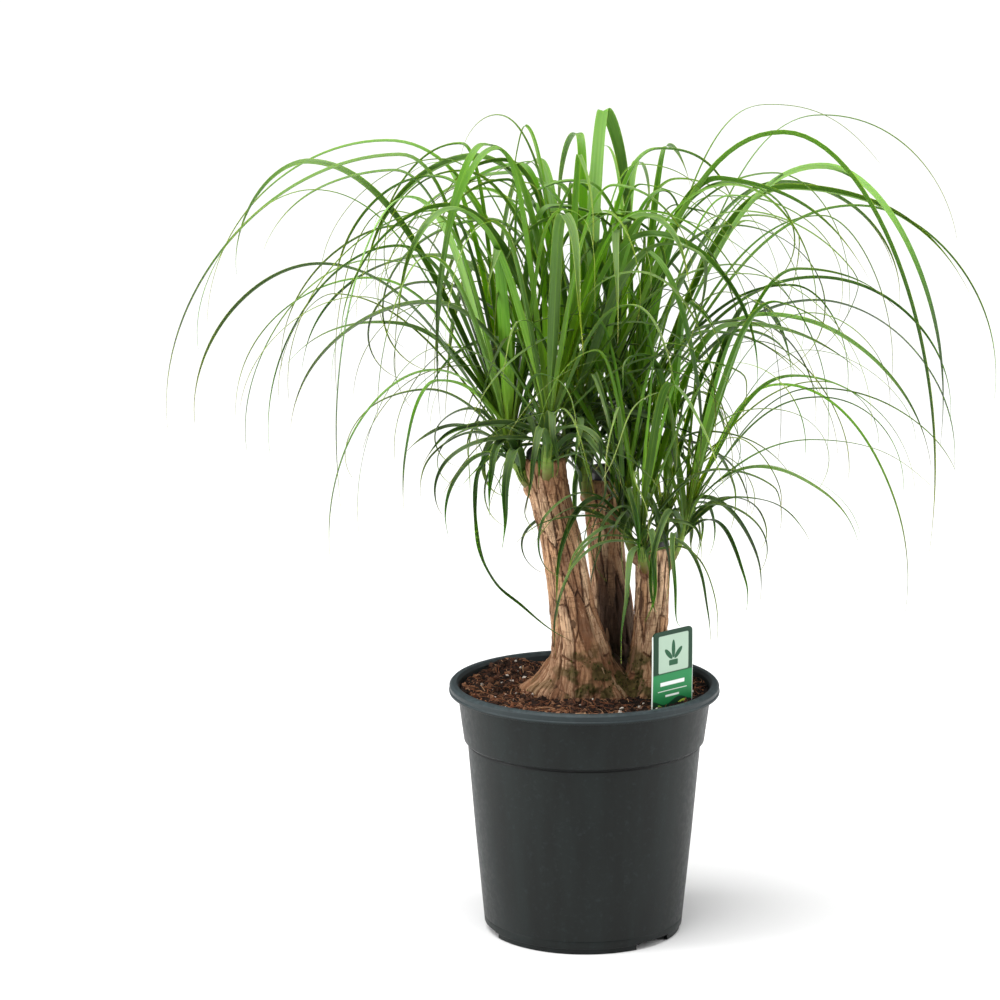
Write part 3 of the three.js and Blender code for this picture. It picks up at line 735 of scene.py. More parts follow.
def leaf_midrib(shoot, head, leaf):
    """The way of a leaf's midrib: up from the shoot to its highest point, and down to its tip."""
    away = heading(math.radians(leaf.azimuth))
    across = np.cross(UP, away)
    root = place_at(shoot, leaf.root) + away * ROOT_INSET * head.radius
    drift = np.array([*head.lean, 0]) * leaf.lean * 0.5
    rise = min(leaf.rise, leaf.ceiling - root[2])
    fall = leaf.fall * (1 - FRONT_LIFT * leaf.lean * max(0, -away[1]) ** 2)
    top = root + away * leaf.out + UP * rise + across * 0.25 * leaf.sway + drift

    def tip_at(run):
        return top + away * run - UP * fall + across * 0.75 * leaf.sway + drift

    furthest = tip_at(leaf.reach - leaf.out)
    beyond = max(0, math.hypot(furthest[0], furthest[1]) - leaf.limit)
    run = max(SHORTEST_RUN, leaf.reach - leaf.out - beyond)
    tip = tip_at(run)
    launch = math.pi / 2 - 0.8 * math.atan2(leaf.out, rise)
    hang = math.atan2(fall, run)
    bow = min(1, hang / (math.pi / 4))
    dive = min(STEEPEST_TIP, 2 * hang)
    pull = max(0.36 * math.hypot(fall, run), 0.5 * bow * fall)
    rising = arc(
        root,
        root + 0.5 * rise * (away * math.cos(launch) + UP * math.sin(launch)),
        top - away * 0.5 * leaf.out - across * 0.12 * leaf.sway,
        top,
    )
    falling = arc(
        top,
        top + away * (0.36 + 0.2 * bow) * run + across * 0.2 * leaf.sway,
        tip + pull * (UP * math.sin(dive) - away * math.cos(dive)),
        tip,
    )
    return np.vstack([rising, falling[1:]]), away, across


CLASP = 0.2  # how much of the shoot's length a leaf's base clasps, below its root
CLASP_GAP = 0.98  # how far off the shoot's middle it lies there, as a share of the shoot's radius
LEAF_POINTS = 60
BLADE_SIDES = 8
BLADE_FLATNESS = 0.055
WAVE_HEIGHT = 8  # how far a leaf strays from its midrib's way towards its tip
THREAD_WIDTH = 1.3
TIP_HALF_WIDTH = 0.12
SHEATH_FOLD = 48  # how far a leaf is folded at its base, in degrees
CREASED_SHARE = 0.08
CURLED_SHARE = 0.08
CURLED_SHARE_OLD = 0.4


def leaf_strand(shoot, head, leaf, index, k):
    """A leaf from its clasping base up its shoot, over its highest point and down to its thread-like tip."""
    midrib, away, across = leaf_midrib(shoot, head, leaf)
    shares = np.array([leaf.root - CLASP, leaf.root - 0.5 * CLASP])
    radii = head.radius * (1 - 0.45 * shares**3)
    clasp = place_at(shoot, shares) + away * radii[:, None] * CLASP_GAP
    path = spaced_by_bend(curve_through(np.vstack([clasp, midrib[3:]]), 3), LEAF_POINTS)
    u = shares_along(path)
    waves = np.stack([u * 3 + 7 * draw(index, k, 20), u * 0 + k * 1.7, u * 0 + index * 3.1], axis=1)
    sideways, upwards = noise_at(waves, 1)[:, None], 0.7 * noise_at(waves, 2)[:, None]
    path = path + WAVE_HEIGHT * u[:, None] ** 1.5 * (across * sideways + UP * upwards)
    path = bent_about(path, across, leaf_bends(u, leaf, index, k))
    tangents = tangents_of(path)
    side = unit(across - tangents * (tangents @ across)[:, None])
    turn = np.radians(leaf.twist) * u**2 + 0.9 * (draw(index, k, 21) - 0.5) * smooth_step(u, 0.03, 0.3)
    gutter = (8 if leaf.tint == PALE_TINT else 14 + 22 * draw(index, k, 22)) + 20 * smooth_step(u, 0.7, 1)
    return Strand(
        path,
        across=twisted(side, tangents, turn),
        half_width=leaf_half_width(u, head, leaf, index, k),
        fold=np.radians(SHEATH_FOLD * (1 - smooth_step(u, 0.0, 0.18)) + gutter),
        marks={"leaf_u": u, "age": leaf.age, "tint": leaf.tint},
    )


def leaf_bends(u, leaf, index, k):
    """How far a leaf is bent down along it: some have a crease, and some a curled tip."""
    bends = 0 * u
    if stands_out(leaf):
        return bends
    if draw(index, k, 30) < CREASED_SHARE:
        place = 0.55 + 0.3 * draw(index, k, 31)
        bends = bends + math.radians(20 + 40 * draw(index, k, 32)) * smooth_step(u, place - 0.02, place + 0.02)
    if draw(index, k, 33) < (CURLED_SHARE_OLD if leaf.age == OLD_AGE else CURLED_SHARE):
        bends = bends + math.radians(30 + 70 * draw(index, k, 34)) * smooth_step(u, 0.6, 1.1)
    return bends


def leaf_half_width(u, head, leaf, index, k):
    """Half a leaf's width along it: a sheath round the shoot, then the blade, and a thread at the tip."""
    slenderness = 1 - leaf.lean * (0.04 + 0.54 * smooth_step(draw(index, k, 23) + 0.5 * leaf.age, 0.35, 0.95))
    if on_right_cane(head):
        slenderness *= 0.8
    fullness = 2.1 if leaf.age == OLD_AGE else 1.6 + 1.6 * smooth_step(leaf.width * slenderness, 5, 11)
    blade = slenderness * leaf.width * (0.62 + 0.38 * smooth_step(u, 0.03, 0.25)) * (1 - u**fullness)
    blade *= 1 - 0.45 * smooth_step(u, 0.8, 1)
    sheath = head.radius * 1.9 * (1 - smooth_step(u, 0.0, 0.075))
    thread = THREAD_WIDTH - 0.7 * smooth_step(u, 0.88, 1)
    half_width = 0.5 * np.maximum(np.maximum(blade, sheath), thread)
    half_width[-1] = TIP_HALF_WIDTH
    return half_width


# How far a leaf's midrib keeps from the bark, the wax, another head's shoot, and the label's edges and faces.
BARK_GAP = 3
WAX_GAP = 2
SHOOT_GAP = 7.5
CARD_EDGE_GAP = 3
CARD_FACE_GAP = 5
CLASPING_POINTS = 6  # how many of a leaf's first points lie on its own shoot
POT_REACH = (126, 232)  # the radius and height inside which the pot and its soil lie


def is_clear(path, own_head, shoots):
    """Whether a leaf passes every cane, cap and shoot of another head, the label and the pot."""
    free = path[CLASPING_POINTS:]
    for name in LIMBS:
        x, y, across, deep = limb_at(name, free[:, 2])
        beside = np.hypot((free[:, 0] - x) / (across + BARK_GAP), (free[:, 1] - y) / (deep + BARK_GAP))
        if np.any((beside < 1) & (free[:, 2] < LIMBS[name][-1][2])):
            return False
    for cane, shift, radius, height in CAPS.values():
        x, y, z = LIMBS[cane][-1][:3]
        middle = (x + shift[0], y + shift[1], z + 0.3 * height)
        if np.any(np.linalg.norm(free - middle, axis=1) < radius + WAX_GAP):
            return False
    for name, shoot in shoots.items():
        if name != own_head.name and np.linalg.norm(free[:, None] - shoot[None, ::6], axis=2).min() < SHOOT_GAP:
            return False
    from_card = free - (*CARD_CENTRE, 0)
    beside_edge = np.abs(from_card @ CARD_ALONG) < CARD_WIDTH / 2 + CARD_EDGE_GAP
    beside_face = np.abs(from_card @ CARD_FACING) < CARD_FACE_GAP
    if np.any(beside_edge & beside_face & (free[:, 2] < CARD_TOP + CARD_EDGE_GAP)):
        return False
    return not np.any((free[:, 2] < POT_REACH[1]) & (np.hypot(free[:, 0], free[:, 1]) < POT_REACH[0]))


# The one long leaf that trails in a bow past the left cane: its head, its width and the places on its midrib.
TRAILING_HEAD = "head_left_outer"
TRAILING_WIDTH = 4.6
TRAILING_WAY = [
    (-66, -28, 432), (-72, -31, 443), (-78, -31.5, 445), (-85, -32, 437), (-93.3, -34, 420), (-96.3, -36, 403),
    (-96.8, -40, 380), (-90.7, -44, 350), (-76.4, -48, 324), (-55.6, -50, 306), (-30.3, -48, 284), (-12, -45, 272),
]



def trailing_strand():
    """The trailing leaf: a narrow blade that turns about its midrib and tapers only near its tip."""
    path = spaced_by_bend(curve_through(TRAILING_WAY), LEAF_POINTS)
    u = shares_along(path)
    tangents = tangents_of(path)
    side = unit(np.cross(tangents, (0.3, 1, 0.2)))
    turn = 2.2 * noise_at(np.stack([u * 4, u * 0, u * 0], axis=1), 5)
    return Strand(
        path,
        across=twisted(side, tangents, turn),
        half_width=0.5 * np.maximum(TRAILING_WIDTH * (1 - u**6), 1.4 - u),
        fold=np.radians(20 + 30 * u),
        marks={"leaf_u": 0.3 + 0.6 * u, "age": 0.9, "tint": 0.4},
    )


# The numbers of a head's leaves: the ordinary ones from 0, then those that stand out, then the old ones.
FIRST_OUTSTANDING = 100
FIRST_OLD = 200


def leaves_of(head, index, shoots, old_leaves):
    """Every leaf of a head. One that would touch what it has to pass is nudged clear, or else left out."""
    rows = [(k, row) for k, (name, row) in enumerate(OUTSTANDING_ROWS) if name == head.name]
    wanted = [(FIRST_OUTSTANDING + k, outstanding_leaf(row, k)) for k, row in rows]
    wanted += [(k, grown_leaf(head, index, k)) for k in range(head.leaves)]
    wanted += [(k, old_leaf(head, index, k)) for k in range(FIRST_OLD, FIRST_OLD + old_leaves)]
    strands = []
    for k, leaf in wanted:
        for turn, lift in NUDGES:
            moved = leaf._replace(azimuth=leaf.azimuth + turn, rise=leaf.rise * lift)
            strand = leaf_strand(shoots[head.name], head, moved, index, k)
            if is_clear(strand.path, head, shoots):
                strands.append(strand)
                break
    if head.name == TRAILING_HEAD:
        strands.append(trailing_strand())
    return strands


SHOOT_POINTS = 64
SHOOT_SIDES = 20
SHOOT_SCARS = 15


def shoot_strand(shoot, head):
    """The shoot itself: a tapering stem, stepped by the scars of the leaves that it has shed."""
    share = np.linspace(0, 1, SHOOT_POINTS)
    path = place_at(shoot, share)
    tangents = tangents_of(path)
    step = 0.93 + 0.1 * ((share * SHOOT_SCARS) % 1)
    redness = (0.5 if on_right_cane(head) else 0.3) * (1 - smooth_step(share, 0.14, 0.34))
    return Strand(
        path,
        across=unit(np.cross(tangents, UP + np.array([0.1, 0.2, 0]))),
        half_width=head.radius * 0.86 * (1 - 0.5 * share**2) * step,
        fold=0,
        marks={"leaf_u": share, "callus": redness},
    )


def leaf_material(settings):
    """Green blades with fine veins: yellow-green in the middle of a head, dark at its foot, a few pale."""
    material, tree, shader = new_finish("leaf_green", 0.4, 0.16)
    u, age, tint = (attribute(tree, name) for name in ("leaf_u", "age", "tint"))
    across = attribute(tree, "blade_v")
    under = stepped(tree, attribute(tree, "blade_top"), 0.1, -0.1)
    young = ramp(tree, u, [
        (0.0, (190, 212, 90)), (0.05, (170, 210, 50)), (0.18, (148, 204, 28)), (0.45, (122, 190, 24)),
        (0.68, (76, 132, 18)), (0.86, (34, 56, 14)), (1.0, (28, 32, 18)),
    ])
    old = ramp(tree, u, [
        (0.0, (108, 136, 52)), (0.06, (62, 98, 20)), (0.25, (40, 70, 12)),
        (0.6, (30, 52, 10)), (0.9, (24, 34, 12)), (1.0, (60, 48, 30)),
    ])
    aged = maths(tree, "ADD", times(tree, age, 0.95), times(tree, tint, 0.4))
    base = mixed(tree, stepped(tree, aged, 0.15, 0.95), young, old)
    base = mixed(tree, times(tree, under, 0.14), base, settings.underside_colour)
    base = coated(
        tree, base,
        (tint, 0.5, 0.15, 0.75, settings.deep_colour),
        # Painted sunlight: the highest leaves are lighter.
        (part_of(tree, object_place(tree), "Z"), 540 * MM, 690 * MM, 0.18, settings.sunlit_colour),
        # Painted sheen where a blade faces the sky.
        (facing_up(tree), 0.35, 0.95, 0.36, settings.bloom_colour),
    )
    # Painted glow of light shining through the few thin, pale blades.
    pale = times(tree, stepped(tree, tint, 0.93, 0.98, 0.0, 0.85), stepped(tree, u, 0.75, 0.45))
    base = mixed(tree, pale, base, settings.pale_colour)
    streak_place = put(tree, "ShaderNodeCombineXYZ", {
        "X": times(tree, across, 7.0), "Y": times(tree, u, 5.0),
        "Z": times(tree, tint, 40.0),
    }).outputs[0]
    streaks = pattern(tree, streak_place, 1.0, detail=3)
    base = mixed(tree, stepped(tree, streaks, 0.3, 0.7, 0.0, 0.45), base, settings.vein_colour, "MULTIPLY")
    midrib = stepped(tree, maths(tree, "ABSOLUTE", across), 0.2, 0.0)
    base = mixed(tree, times(tree, midrib, 0.2), base, settings.midrib_colour)
    connect(
        tree, shader,
        colour=base,
        roughness=stepped(tree, streaks, 0.2, 0.8, 0.34, 0.5),
        normal=bumped(tree, streaks, 0.4 * MM, 0.5),
    )
    let_light_in(shader, settings.glow, 0.9 * MM, (0.85, 1.0, 0.2))
    return material


def shoot_material(settings):
    """Light green skin with the rings of shed leaves, reddish where it breaks from the bark."""
    material, tree, shader = new_finish("shoot_skin", 0.5, 0.3)
    u, callus = attribute(tree, "leaf_u"), attribute(tree, "callus")
    ring = maths(tree, "FRACT", times(tree, u, float(SHOOT_SCARS)))
    flecks = pattern(tree, object_place(tree), 2.5 * MM, detail=3, stretch=(1, 1, 0.4))
    green = ramp(tree, u, [
        (0.0, (74, 66, 34)), (0.16, (94, 104, 42)), (0.34, (124, 152, 56)), (1.0, (84, 128, 34)),
    ])
    base = coated(
        tree, green,
        (flecks, 0.4, 0.75, 0.5, screen(92, 116, 40)),
        (ring, 0.8, 0.97, 0.6, screen(112, 104, 52)),
    )
    base = mixed(tree, callus, base, settings.callus_colour)
    connect(tree, shader, colour=base, normal=bumped(tree, flecks, 0.4 * MM, 0.5))
    let_light_in(shader, 0.15, 2 * MM, (0.6, 1.0, 0.2))
    return material


# ---- plant label ----

CARD_WIDTH = 50
CARD_TOP = 287
CARD_FOOT = 205
CARD_CORNER = 5
CARD_THICKNESS = 1.2
CARD_EDGE_ROUNDING = 0.25
CARD_SHARP_ANGLE = 30
CARD_SQUARE = 6  # size of the squares that the card is divided into, so that it can bow
CARD_BEND_START = 216  # height from which the card bends
STAKE_TIP = 152
STAKE_WIDTH = 14
STAKE_SHOULDER = 12  # how far below the card's foot the stake gets its own width
CARD_CENTRE = (74.5, -62.5)
CARD_ALONG = heading(math.radians(43.4))
CARD_FACING = np.cross(CARD_ALONG, UP)
PRINT_SOFTNESS = 0.005  # how far a printed edge fades either way, as a share of the card's width


def card_outline(steps=6):
    """The label's outline, as places across it and up: a card with round corners over a tapering stake."""
    half, corner = CARD_WIDTH / 2, CARD_CORNER
    shoulder = (STAKE_WIDTH / 2, CARD_FOOT - STAKE_SHOULDER)
    points = [(-1, STAKE_TIP), (1, STAKE_TIP), shoulder, (half - 2, CARD_FOOT - 1), (half, CARD_FOOT + 1)]
    for side, start in ((1, 0), (-1, 90)):
        for k in range(steps + 1):
            angle = math.radians(start + 90 * k / steps)
            points.append((
                side * (half - corner) + corner * math.cos(angle),
                CARD_TOP - corner + corner * math.sin(angle),
            ))
    return points + [(-half, CARD_FOOT + 1), (2 - half, CARD_FOOT - 1), (-shoulder[0], shoulder[1])]


def card_place(across, up, off):
    """Where a spot of the label lies. The thin card bows a little across, and bends a little above the peat."""
    bow = 0.6 * (across / (CARD_WIDTH / 2)) ** 2
    risen = max(0, up - CARD_BEND_START) / (CARD_TOP - CARD_BEND_START)
    bow += 1.2 * math.sin((up - CARD_FOOT) / 26) * risen
    return np.array([*CARD_CENTRE, 0]) + CARD_ALONG * across + CARD_FACING * (off + bow * 0.5) + UP * up


def cut_across(shape, place, direction):
    """Cuts every face of a shape along a plane, and keeps both sides."""
    everything = shape.verts[:] + shape.edges[:] + shape.faces[:]
    bmesh.ops.bisect_plane(shape, geom=everything, plane_co=place, plane_no=direction)


def label_mesh():
    """The card as a thin bevelled slab, with its face mapped from 0 to 1."""
    shape = bmesh.new()
    shape.faces.new([shape.verts.new((across * MM, up * MM, 0)) for across, up in card_outline()])
    for height in np.arange(CARD_FOOT + 4, CARD_TOP - CARD_CORNER, CARD_SQUARE):
        cut_across(shape, (0, height * MM, 0), (0, 1, 0))
    for across in np.arange(-18, 19, CARD_SQUARE):
        cut_across(shape, (across * MM, 0, 0), (1, 0, 0))
    slab = bmesh.ops.extrude_face_region(shape, geom=shape.faces[:])
    for corner in slab["geom"]:
        if isinstance(corner, bmesh.types.BMVert):
            corner.co.z += CARD_THICKNESS * MM
    bmesh.ops.recalc_face_normals(shape, faces=shape.faces[:])
    rim = [edge for edge in shape.edges if edge.calc_face_angle(0) > 1.2]
    rounding = CARD_EDGE_ROUNDING * MM
    bmesh.ops.bevel(shape, geom=rim, offset=rounding, segments=2, affect="EDGES", profile=0.6)
    print_map = shape.loops.layers.uv.new("print")
    for face in shape.faces:
        for loop in face.loops:
            across, up, _ = loop.vert.co / MM
            loop[print_map].uv = (across / CARD_WIDTH + 0.5, (up - CARD_FOOT) / (CARD_TOP - CARD_FOOT))
    for corner in shape.verts:
        across, up, off = corner.co / MM
        corner.co = Vector(card_place(across, up, off - CARD_THICKNESS / 2) * MM)
    return mesh_of("label", shape)


def label_material(settings):
    """A generic print: a green card with a potted sprout on a pale panel, plain bars and a wavy foot.

    Places on the card are shares of its width, from its middle across and from its foot up.
    """
    material, tree, shader = new_finish("printed_card", 0.4, 0.2)
    print_place = put(tree, "ShaderNodeUVMap", uv_map="print").outputs[0]
    x = maths(tree, "SUBTRACT", part_of(tree, print_place, "X"), 0.5)
    y = times(tree, part_of(tree, print_place, "Y"), (CARD_TOP - CARD_FOOT) / CARD_WIDTH)

    def box(centre_x, centre_y, half_x, half_y, corner):
        """1 inside a box with round corners."""
        over = []
        for value, centre, half in ((x, centre_x, half_x), (y, centre_y, half_y)):
            away = maths(tree, "ABSOLUTE", maths(tree, "SUBTRACT", value, centre))
            over.append(maths(tree, "MAXIMUM", maths(tree, "SUBTRACT", away, half - corner), 0.0))
        squares = [times(tree, value, value) for value in over]
        reach = maths(tree, "SQRT", maths(tree, "ADD", *squares))
        return stepped(tree, reach, corner + PRINT_SOFTNESS, corner - PRINT_SOFTNESS)

    def blade(centre_x, centre_y, half_x, half_y, tilt):
        """1 inside a tilted oval."""
        over = [maths(tree, "SUBTRACT", value, centre) for value, centre in ((x, centre_x), (y, centre_y))]
        squares = []
        for angle, half in ((tilt, half_x), (tilt + math.pi / 2, half_y)):
            across = times(tree, over[0], math.cos(angle))
            up = times(tree, over[1], math.sin(angle))
            part = maths(tree, "DIVIDE", maths(tree, "ADD", across, up), half)
            squares.append(times(tree, part, part))
        return stepped(tree, maths(tree, "ADD", *squares), 1.08, 0.92)

    wave = times(tree, maths(tree, "SINE", times(tree, x, 9.0)), 0.05)
    card = coated(
        tree, settings.card_colour,
        (y, 0.3, 0.85, 1.0, screen(36, 134, 76)),
        (y, 0.86, 0.9, 1.0, settings.foot_colour),
        (maths(tree, "SUBTRACT", y, wave), 0.39, 0.37, 1.0, settings.foot_colour),
    )
    for shape, colour in (
        (blade(0.2, 0.31, 0.13, 0.035, 0.35), screen(186, 210, 78)),
        (blade(-0.26, 0.27, 0.12, 0.03, 2.5), screen(112, 168, 62)),
        (box(0.02, 1.23, 0.37, 0.33, 0.03), settings.panel_colour),
        (blade(0.02, 1.3, 0.045, 0.16, 0.0), settings.sprout_colour),
        (blade(-0.1, 1.22, 0.045, 0.13, 0.8), settings.sprout_colour),
        (blade(0.14, 1.22, 0.045, 0.13, -0.8), settings.sprout_colour),
        (box(0.02, 1.06, 0.11, 0.05, 0.02), settings.sprout_colour),
        (box(0.0, 0.7, 0.3, 0.034, 0.01), (0.86, 0.9, 0.87)),
        (box(0.0, 0.575, 0.36, 0.007, 0.006), (0.7, 0.8, 0.72)),
        (box(0.0, 0.48, 0.17, 0.018, 0.008), (0.8, 0.87, 0.82)),
    ):
        card = mixed(tree, shape, card, colour)
    card = coated(tree, card, (maths(tree, "ABSOLUTE", x), 0.484, 0.492, 1.0, screen(226, 234, 228)))
    connect(tree, shader, colour=card)
    return material


# ---- pot ----

POT_SIDES = 144
POT_SHARP_ANGLE = 42
# The wall in section, from the middle of its underside to the middle of its floor: radius, height, rounding.
POT_PROFILE = [
    (0, 7, 0), (83.5, 7, 0.8), (83.5, 0, 0.6), (86.5, 0, 0.9), (86.5, 5, 0.3), (88.4, 5, 0.8), (89, 11.5, 0),
    (88.7, 12.2, 0), (89.1, 12.9, 0), (96.4, 88, 0), (103.4, 169.4, 0.3), (103.1, 170.6, 0.3), (106.7, 173.6, 1.2),
    (109.2, 192, 0), (112.2, 215.2, 1.2), (117.6, 215.9, 0.8), (119.8, 216.3, 0.8), (120.1, 218.2, 0.7),
    (119.3, 219.2, 0.5), (119.7, 222.8, 1.6), (117.6, 225, 1.5), (113.2, 225, 1.2), (111.1, 222, 1.5),
    (110.3, 213.5, 1), (104.9, 175.5, 3), (101.8, 168, 3), (94.8, 88, 0), (86.9, 8.6, 1.5), (0, 8.6, 0),
]
COLLAR_GROOVE_Z = 171
RIM_DUST_AND_SHEEN_Z = (216.5, 218.5)  # where the rim's dust and painted sheen start and are full
NOTCH_ANGLES = (75, -45, -165)
NOTCH_WIDTH = 40
NOTCH_HEIGHT = 6.4
NOTCH_CORNER = 2
NOTCH_REACH = (76.5, 98)  # the radii between which a notch is cut


def rounded(corners, steps=5):
    """A line of places with arcs at the corners that have a rounding."""
    line = []
    for before, (x, z, radius), after in zip(corners, corners[1:], corners[2:]):
        corner = np.array([x, z], float)
        if not radius:
            line.append(corner)
            continue
        back, ahead = unit(np.array(before[:2]) - corner), unit(np.array(after[:2]) - corner)
        half = 0.5 * math.acos(np.clip(back @ ahead, -1, 1))
        cut = radius / math.tan(half)
        centre = corner + unit(back + ahead) * radius / math.sin(half)
        start, end = corner + back * cut - centre, corner + ahead * cut - centre
        sweep = math.acos(np.clip(start @ end / radius**2, -1, 1))
        for k in range(steps + 1):
            share = k / steps
            blend = (math.sin((1 - share) * sweep) * start + math.sin(share * sweep) * end) / math.sin(sweep)
            line.append(centre + blend)
    return [np.array(corners[0][:2], float), *line, np.array(corners[-1][:2], float)]


def lathe(name, profile, sides):
    """A closed turned solid. The profile's first and last places are on the axis."""
    inner = profile[1:-1]
    angles = [2 * math.pi * k / sides for k in range(sides)]
    places = [(r * math.cos(a), r * math.sin(a), z) for r, z in inner for a in angles]
    faces = ring_faces(len(inner), sides, capped=False)
    last = (len(inner) - 1) * sides
    first_pole, last_pole = len(places), len(places) + 1
    places += [(0, 0, profile[0][1]), (0, 0, profile[-1][1])]
    for k in range(sides):
        beside = (k + 1) % sides
        faces.append((first_pole, beside, k))
        faces.append((last_pole, last + k, last + beside))
    return mesh_from(name, places, faces)


def pot_piece():
    """The turned pot, with three drainage notches cut from its foot ring."""
    pot = shown("pot_wall", lathe("pot_wall", rounded(POT_PROFILE), POT_SIDES))
    half, low = NOTCH_WIDTH / 2, NOTCH_HEIGHT - NOTCH_CORNER
    section = [
        (-half, -4), (half, -4), (half, low),
        (half - NOTCH_CORNER, NOTCH_HEIGHT), (NOTCH_CORNER - half, NOTCH_HEIGHT), (-half, low),
    ]
    cutters = []
    for angle in NOTCH_ANGLES:
        away = heading(math.radians(angle))
        across = np.cross(UP, away)
        places = [away * reach + across * x + UP * z for reach in NOTCH_REACH for x, z in section]
        cutter = shown("notch", mesh_from("notch", places, ring_faces(2, len(section))))
        modifier = pot.modifiers.new("notch", "BOOLEAN")
        modifier.object = cutter
        modifier.operation = "DIFFERENCE"
        modifier.solver = "EXACT"
        cutters.append(cutter)
    apply_modifiers(pot)
    for cutter in cutters:
        discard(cutter)
    return pot


def pot_material(settings):
    """Moulded plastic with upright flow marks, dust on what faces up, dust and painted sheen on the rim, scuffs,
    and painted shade in the groove under the collar.
    """
    material, tree, shader = new_finish("moulded_plastic", 0.4, 0.16)
    place = object_place(tree)
    flow = pattern(tree, place, 22 * MM, detail=3, stretch=(1, 1, 0.12))
    mottle = pattern(tree, place, 5 * MM, detail=4, roughness=0.65)
    scuffs = pattern(tree, place, 1.4 * MM, detail=3, stretch=(1, 1, 0.5))
    height = part_of(tree, place, "Z")
    rim_start, rim_full = (level * MM for level in RIM_DUST_AND_SHEEN_Z)
    base = coated(
        tree, settings.wall_colour,
        (flow, 0.35, 0.65, 1.0, settings.flow_colour),
        # Dust and a painted sheen lighten the rim.
        (height, rim_start, rim_full, 0.26, settings.dust_colour),
        (mottle, 0.5, 0.8, 0.1, settings.dust_colour),
    )
    dust = times(tree, stepped(tree, facing_up(tree), 0.3, 0.95), stepped(tree, mottle, 0.2, 0.8))
    base = mixed(tree, times(tree, dust, 0.6), base, settings.dust_colour)
    # Painted shade in the groove under the collar.
    from_groove = maths(tree, "ABSOLUTE", maths(tree, "SUBTRACT", height, COLLAR_GROOVE_Z * MM))
    base = coated(tree, base, (from_groove, 2.6 * MM, 0.8 * MM, 0.75, settings.groove_colour))
    connect(
        tree, shader,
        colour=base,
        roughness=stepped(tree, mottle, 0.2, 0.8, 0.36, 0.52),
        normal=bumped(tree, scuffs, 0.1 * MM, 0.35, bumped(tree, flow, 0.4 * MM, 0.3)),
    )
    return material


# ---- soil ----

SOIL_Z = 216
SOIL_RADIUS = 109.5
SOIL_SIDES = 300
SOIL_RINGS = 84
SOIL_INNERMOST = 0.012  # radius of the top's innermost ring, as a share of the soil's
# Where the peat lies against the pot's wall, from the floor up: radius and height.
SOIL_WALL = [(86.2, 9.4), (101.2, 168), (104.3, 175.5), (109.2, SOIL_Z - 6)]
# Where the canes stand in the peat, as ovals: the middle, and the reach across and from front to back.
CANE_FEET = [((0, 0), (52, 40)), ((50, -12), (24, 25)), ((30, 24), (24, 24))]


def soil_height(x, y):
    """Height of the peat: higher at the canes and the front's brim, with a heap at the back left and lumps."""
    mound = 4 * np.exp(-(x * x + y * y) / 3600)
    heap = 9 * np.exp(-((x + 67) ** 2 + (y - 75) ** 2) / 700)
    lumps = 1.3 * np.sin(x / 13 + 1.3) * np.sin(y / 11 + 0.4)
    brim = 3.6 * smooth_step(np.hypot(x, y), 70, 106) * smooth_step(-y, -75, -5)
    return SOIL_Z + mound + heap + lumps + brim


def soil_mesh():
    """The bed of peat: a rough top on a plug that fills the pot."""
    angles = 2 * np.pi * np.arange(SOIL_SIDES) / SOIL_SIDES
    rings = []
    for radius, height in SOIL_WALL:
        level = np.full(SOIL_SIDES, float(height))
        rings.append(np.stack([radius * np.cos(angles), radius * np.sin(angles), level], axis=1))
    for radius in SOIL_RADIUS * np.linspace(1, SOIL_INNERMOST, SOIL_RINGS):
        x, y = radius * np.cos(angles), radius * np.sin(angles)
        flat = np.stack([x, y, 0 * x], axis=1)
        crumbs = 2.4 * layered_noise(flat / 9, 5, 2) + 1.6 * np.abs(layered_noise(flat / 3.4, 9, 2))
        rings.append(np.stack([x, y, soil_height(x, y) + crumbs - 0.8], axis=1))
    return mesh_from("soil_bed", np.vstack(rings), ring_faces(len(rings), SOIL_SIDES))


def open_ground(places):
    """Which places lie on the open peat: 1 inside the wall and clear of the canes, fading to 0."""
    inside = smooth_step(-np.hypot(places[:, 0], places[:, 1]), -108.5, -106)
    away = np.min([
        np.hypot((places[:, 0] - x) / across, (places[:, 1] - y) / deep) for (x, y), (across, deep) in CANE_FEET
    ], axis=0)
    return smooth_step(away, 0.9, 1.0) * inside * (places[:, 2] > SOIL_Z - 4)


def scatter_tree():
    """Strews copies of a grain over the ground's marked faces, each turned and sized at random."""
    tree, given = new_shape_tree("scatter", {
        "Grain": "Object", "Per Area": "Float", "Seed": "Int", "Smallest": "Float", "Largest": "Float",
        "Material": "Material",
    })
    density = times(tree, named(tree, "open_ground"), given["Per Area"])
    inputs = {"Mesh": given["Geometry"], "Density": density, "Seed": given["Seed"]}
    points = put(tree, "GeometryNodeDistributePointsOnFaces", inputs, distribute_method="RANDOM")
    turn = put(tree, "FunctionNodeRandomValue", {
        "Min": (0.0, 0.0, 0.0), "Max": (math.tau, math.tau, math.tau), "Seed": given["Seed"],
    }, data_type="FLOAT_VECTOR")
    turned = put(tree, "FunctionNodeEulerToRotation", {"Euler": result(turn)})
    share = result(put(tree, "FunctionNodeRandomValue", {"Seed": given["Seed"]}, data_type="FLOAT"))
    small = maths(tree, "POWER", share, 2.5)
    reach = {"Value": small, "To Min": given["Smallest"], "To Max": given["Largest"]}
    size = put(tree, "ShaderNodeMapRange", reach)
    grain = put(tree, "GeometryNodeObjectInfo", {"Object": given["Grain"]})
    strewn = put(tree, "GeometryNodeInstanceOnPoints", {
        "Points": points.outputs["Points"], "Instance": grain.outputs["Geometry"],
        "Rotation": turned.outputs[0], "Scale": result(size),
    })
    tint = put(tree, "FunctionNodeRandomValue", {"Seed": 7}, data_type="FLOAT")
    marked = put(tree, "GeometryNodeStoreNamedAttribute", {
        "Geometry": strewn.outputs[0], "Name": "tint", "Value": result(tint),
    }, data_type="FLOAT", domain="INSTANCE")
    close_shape_tree(tree, marked.outputs[0], given["Material"])
    return tree


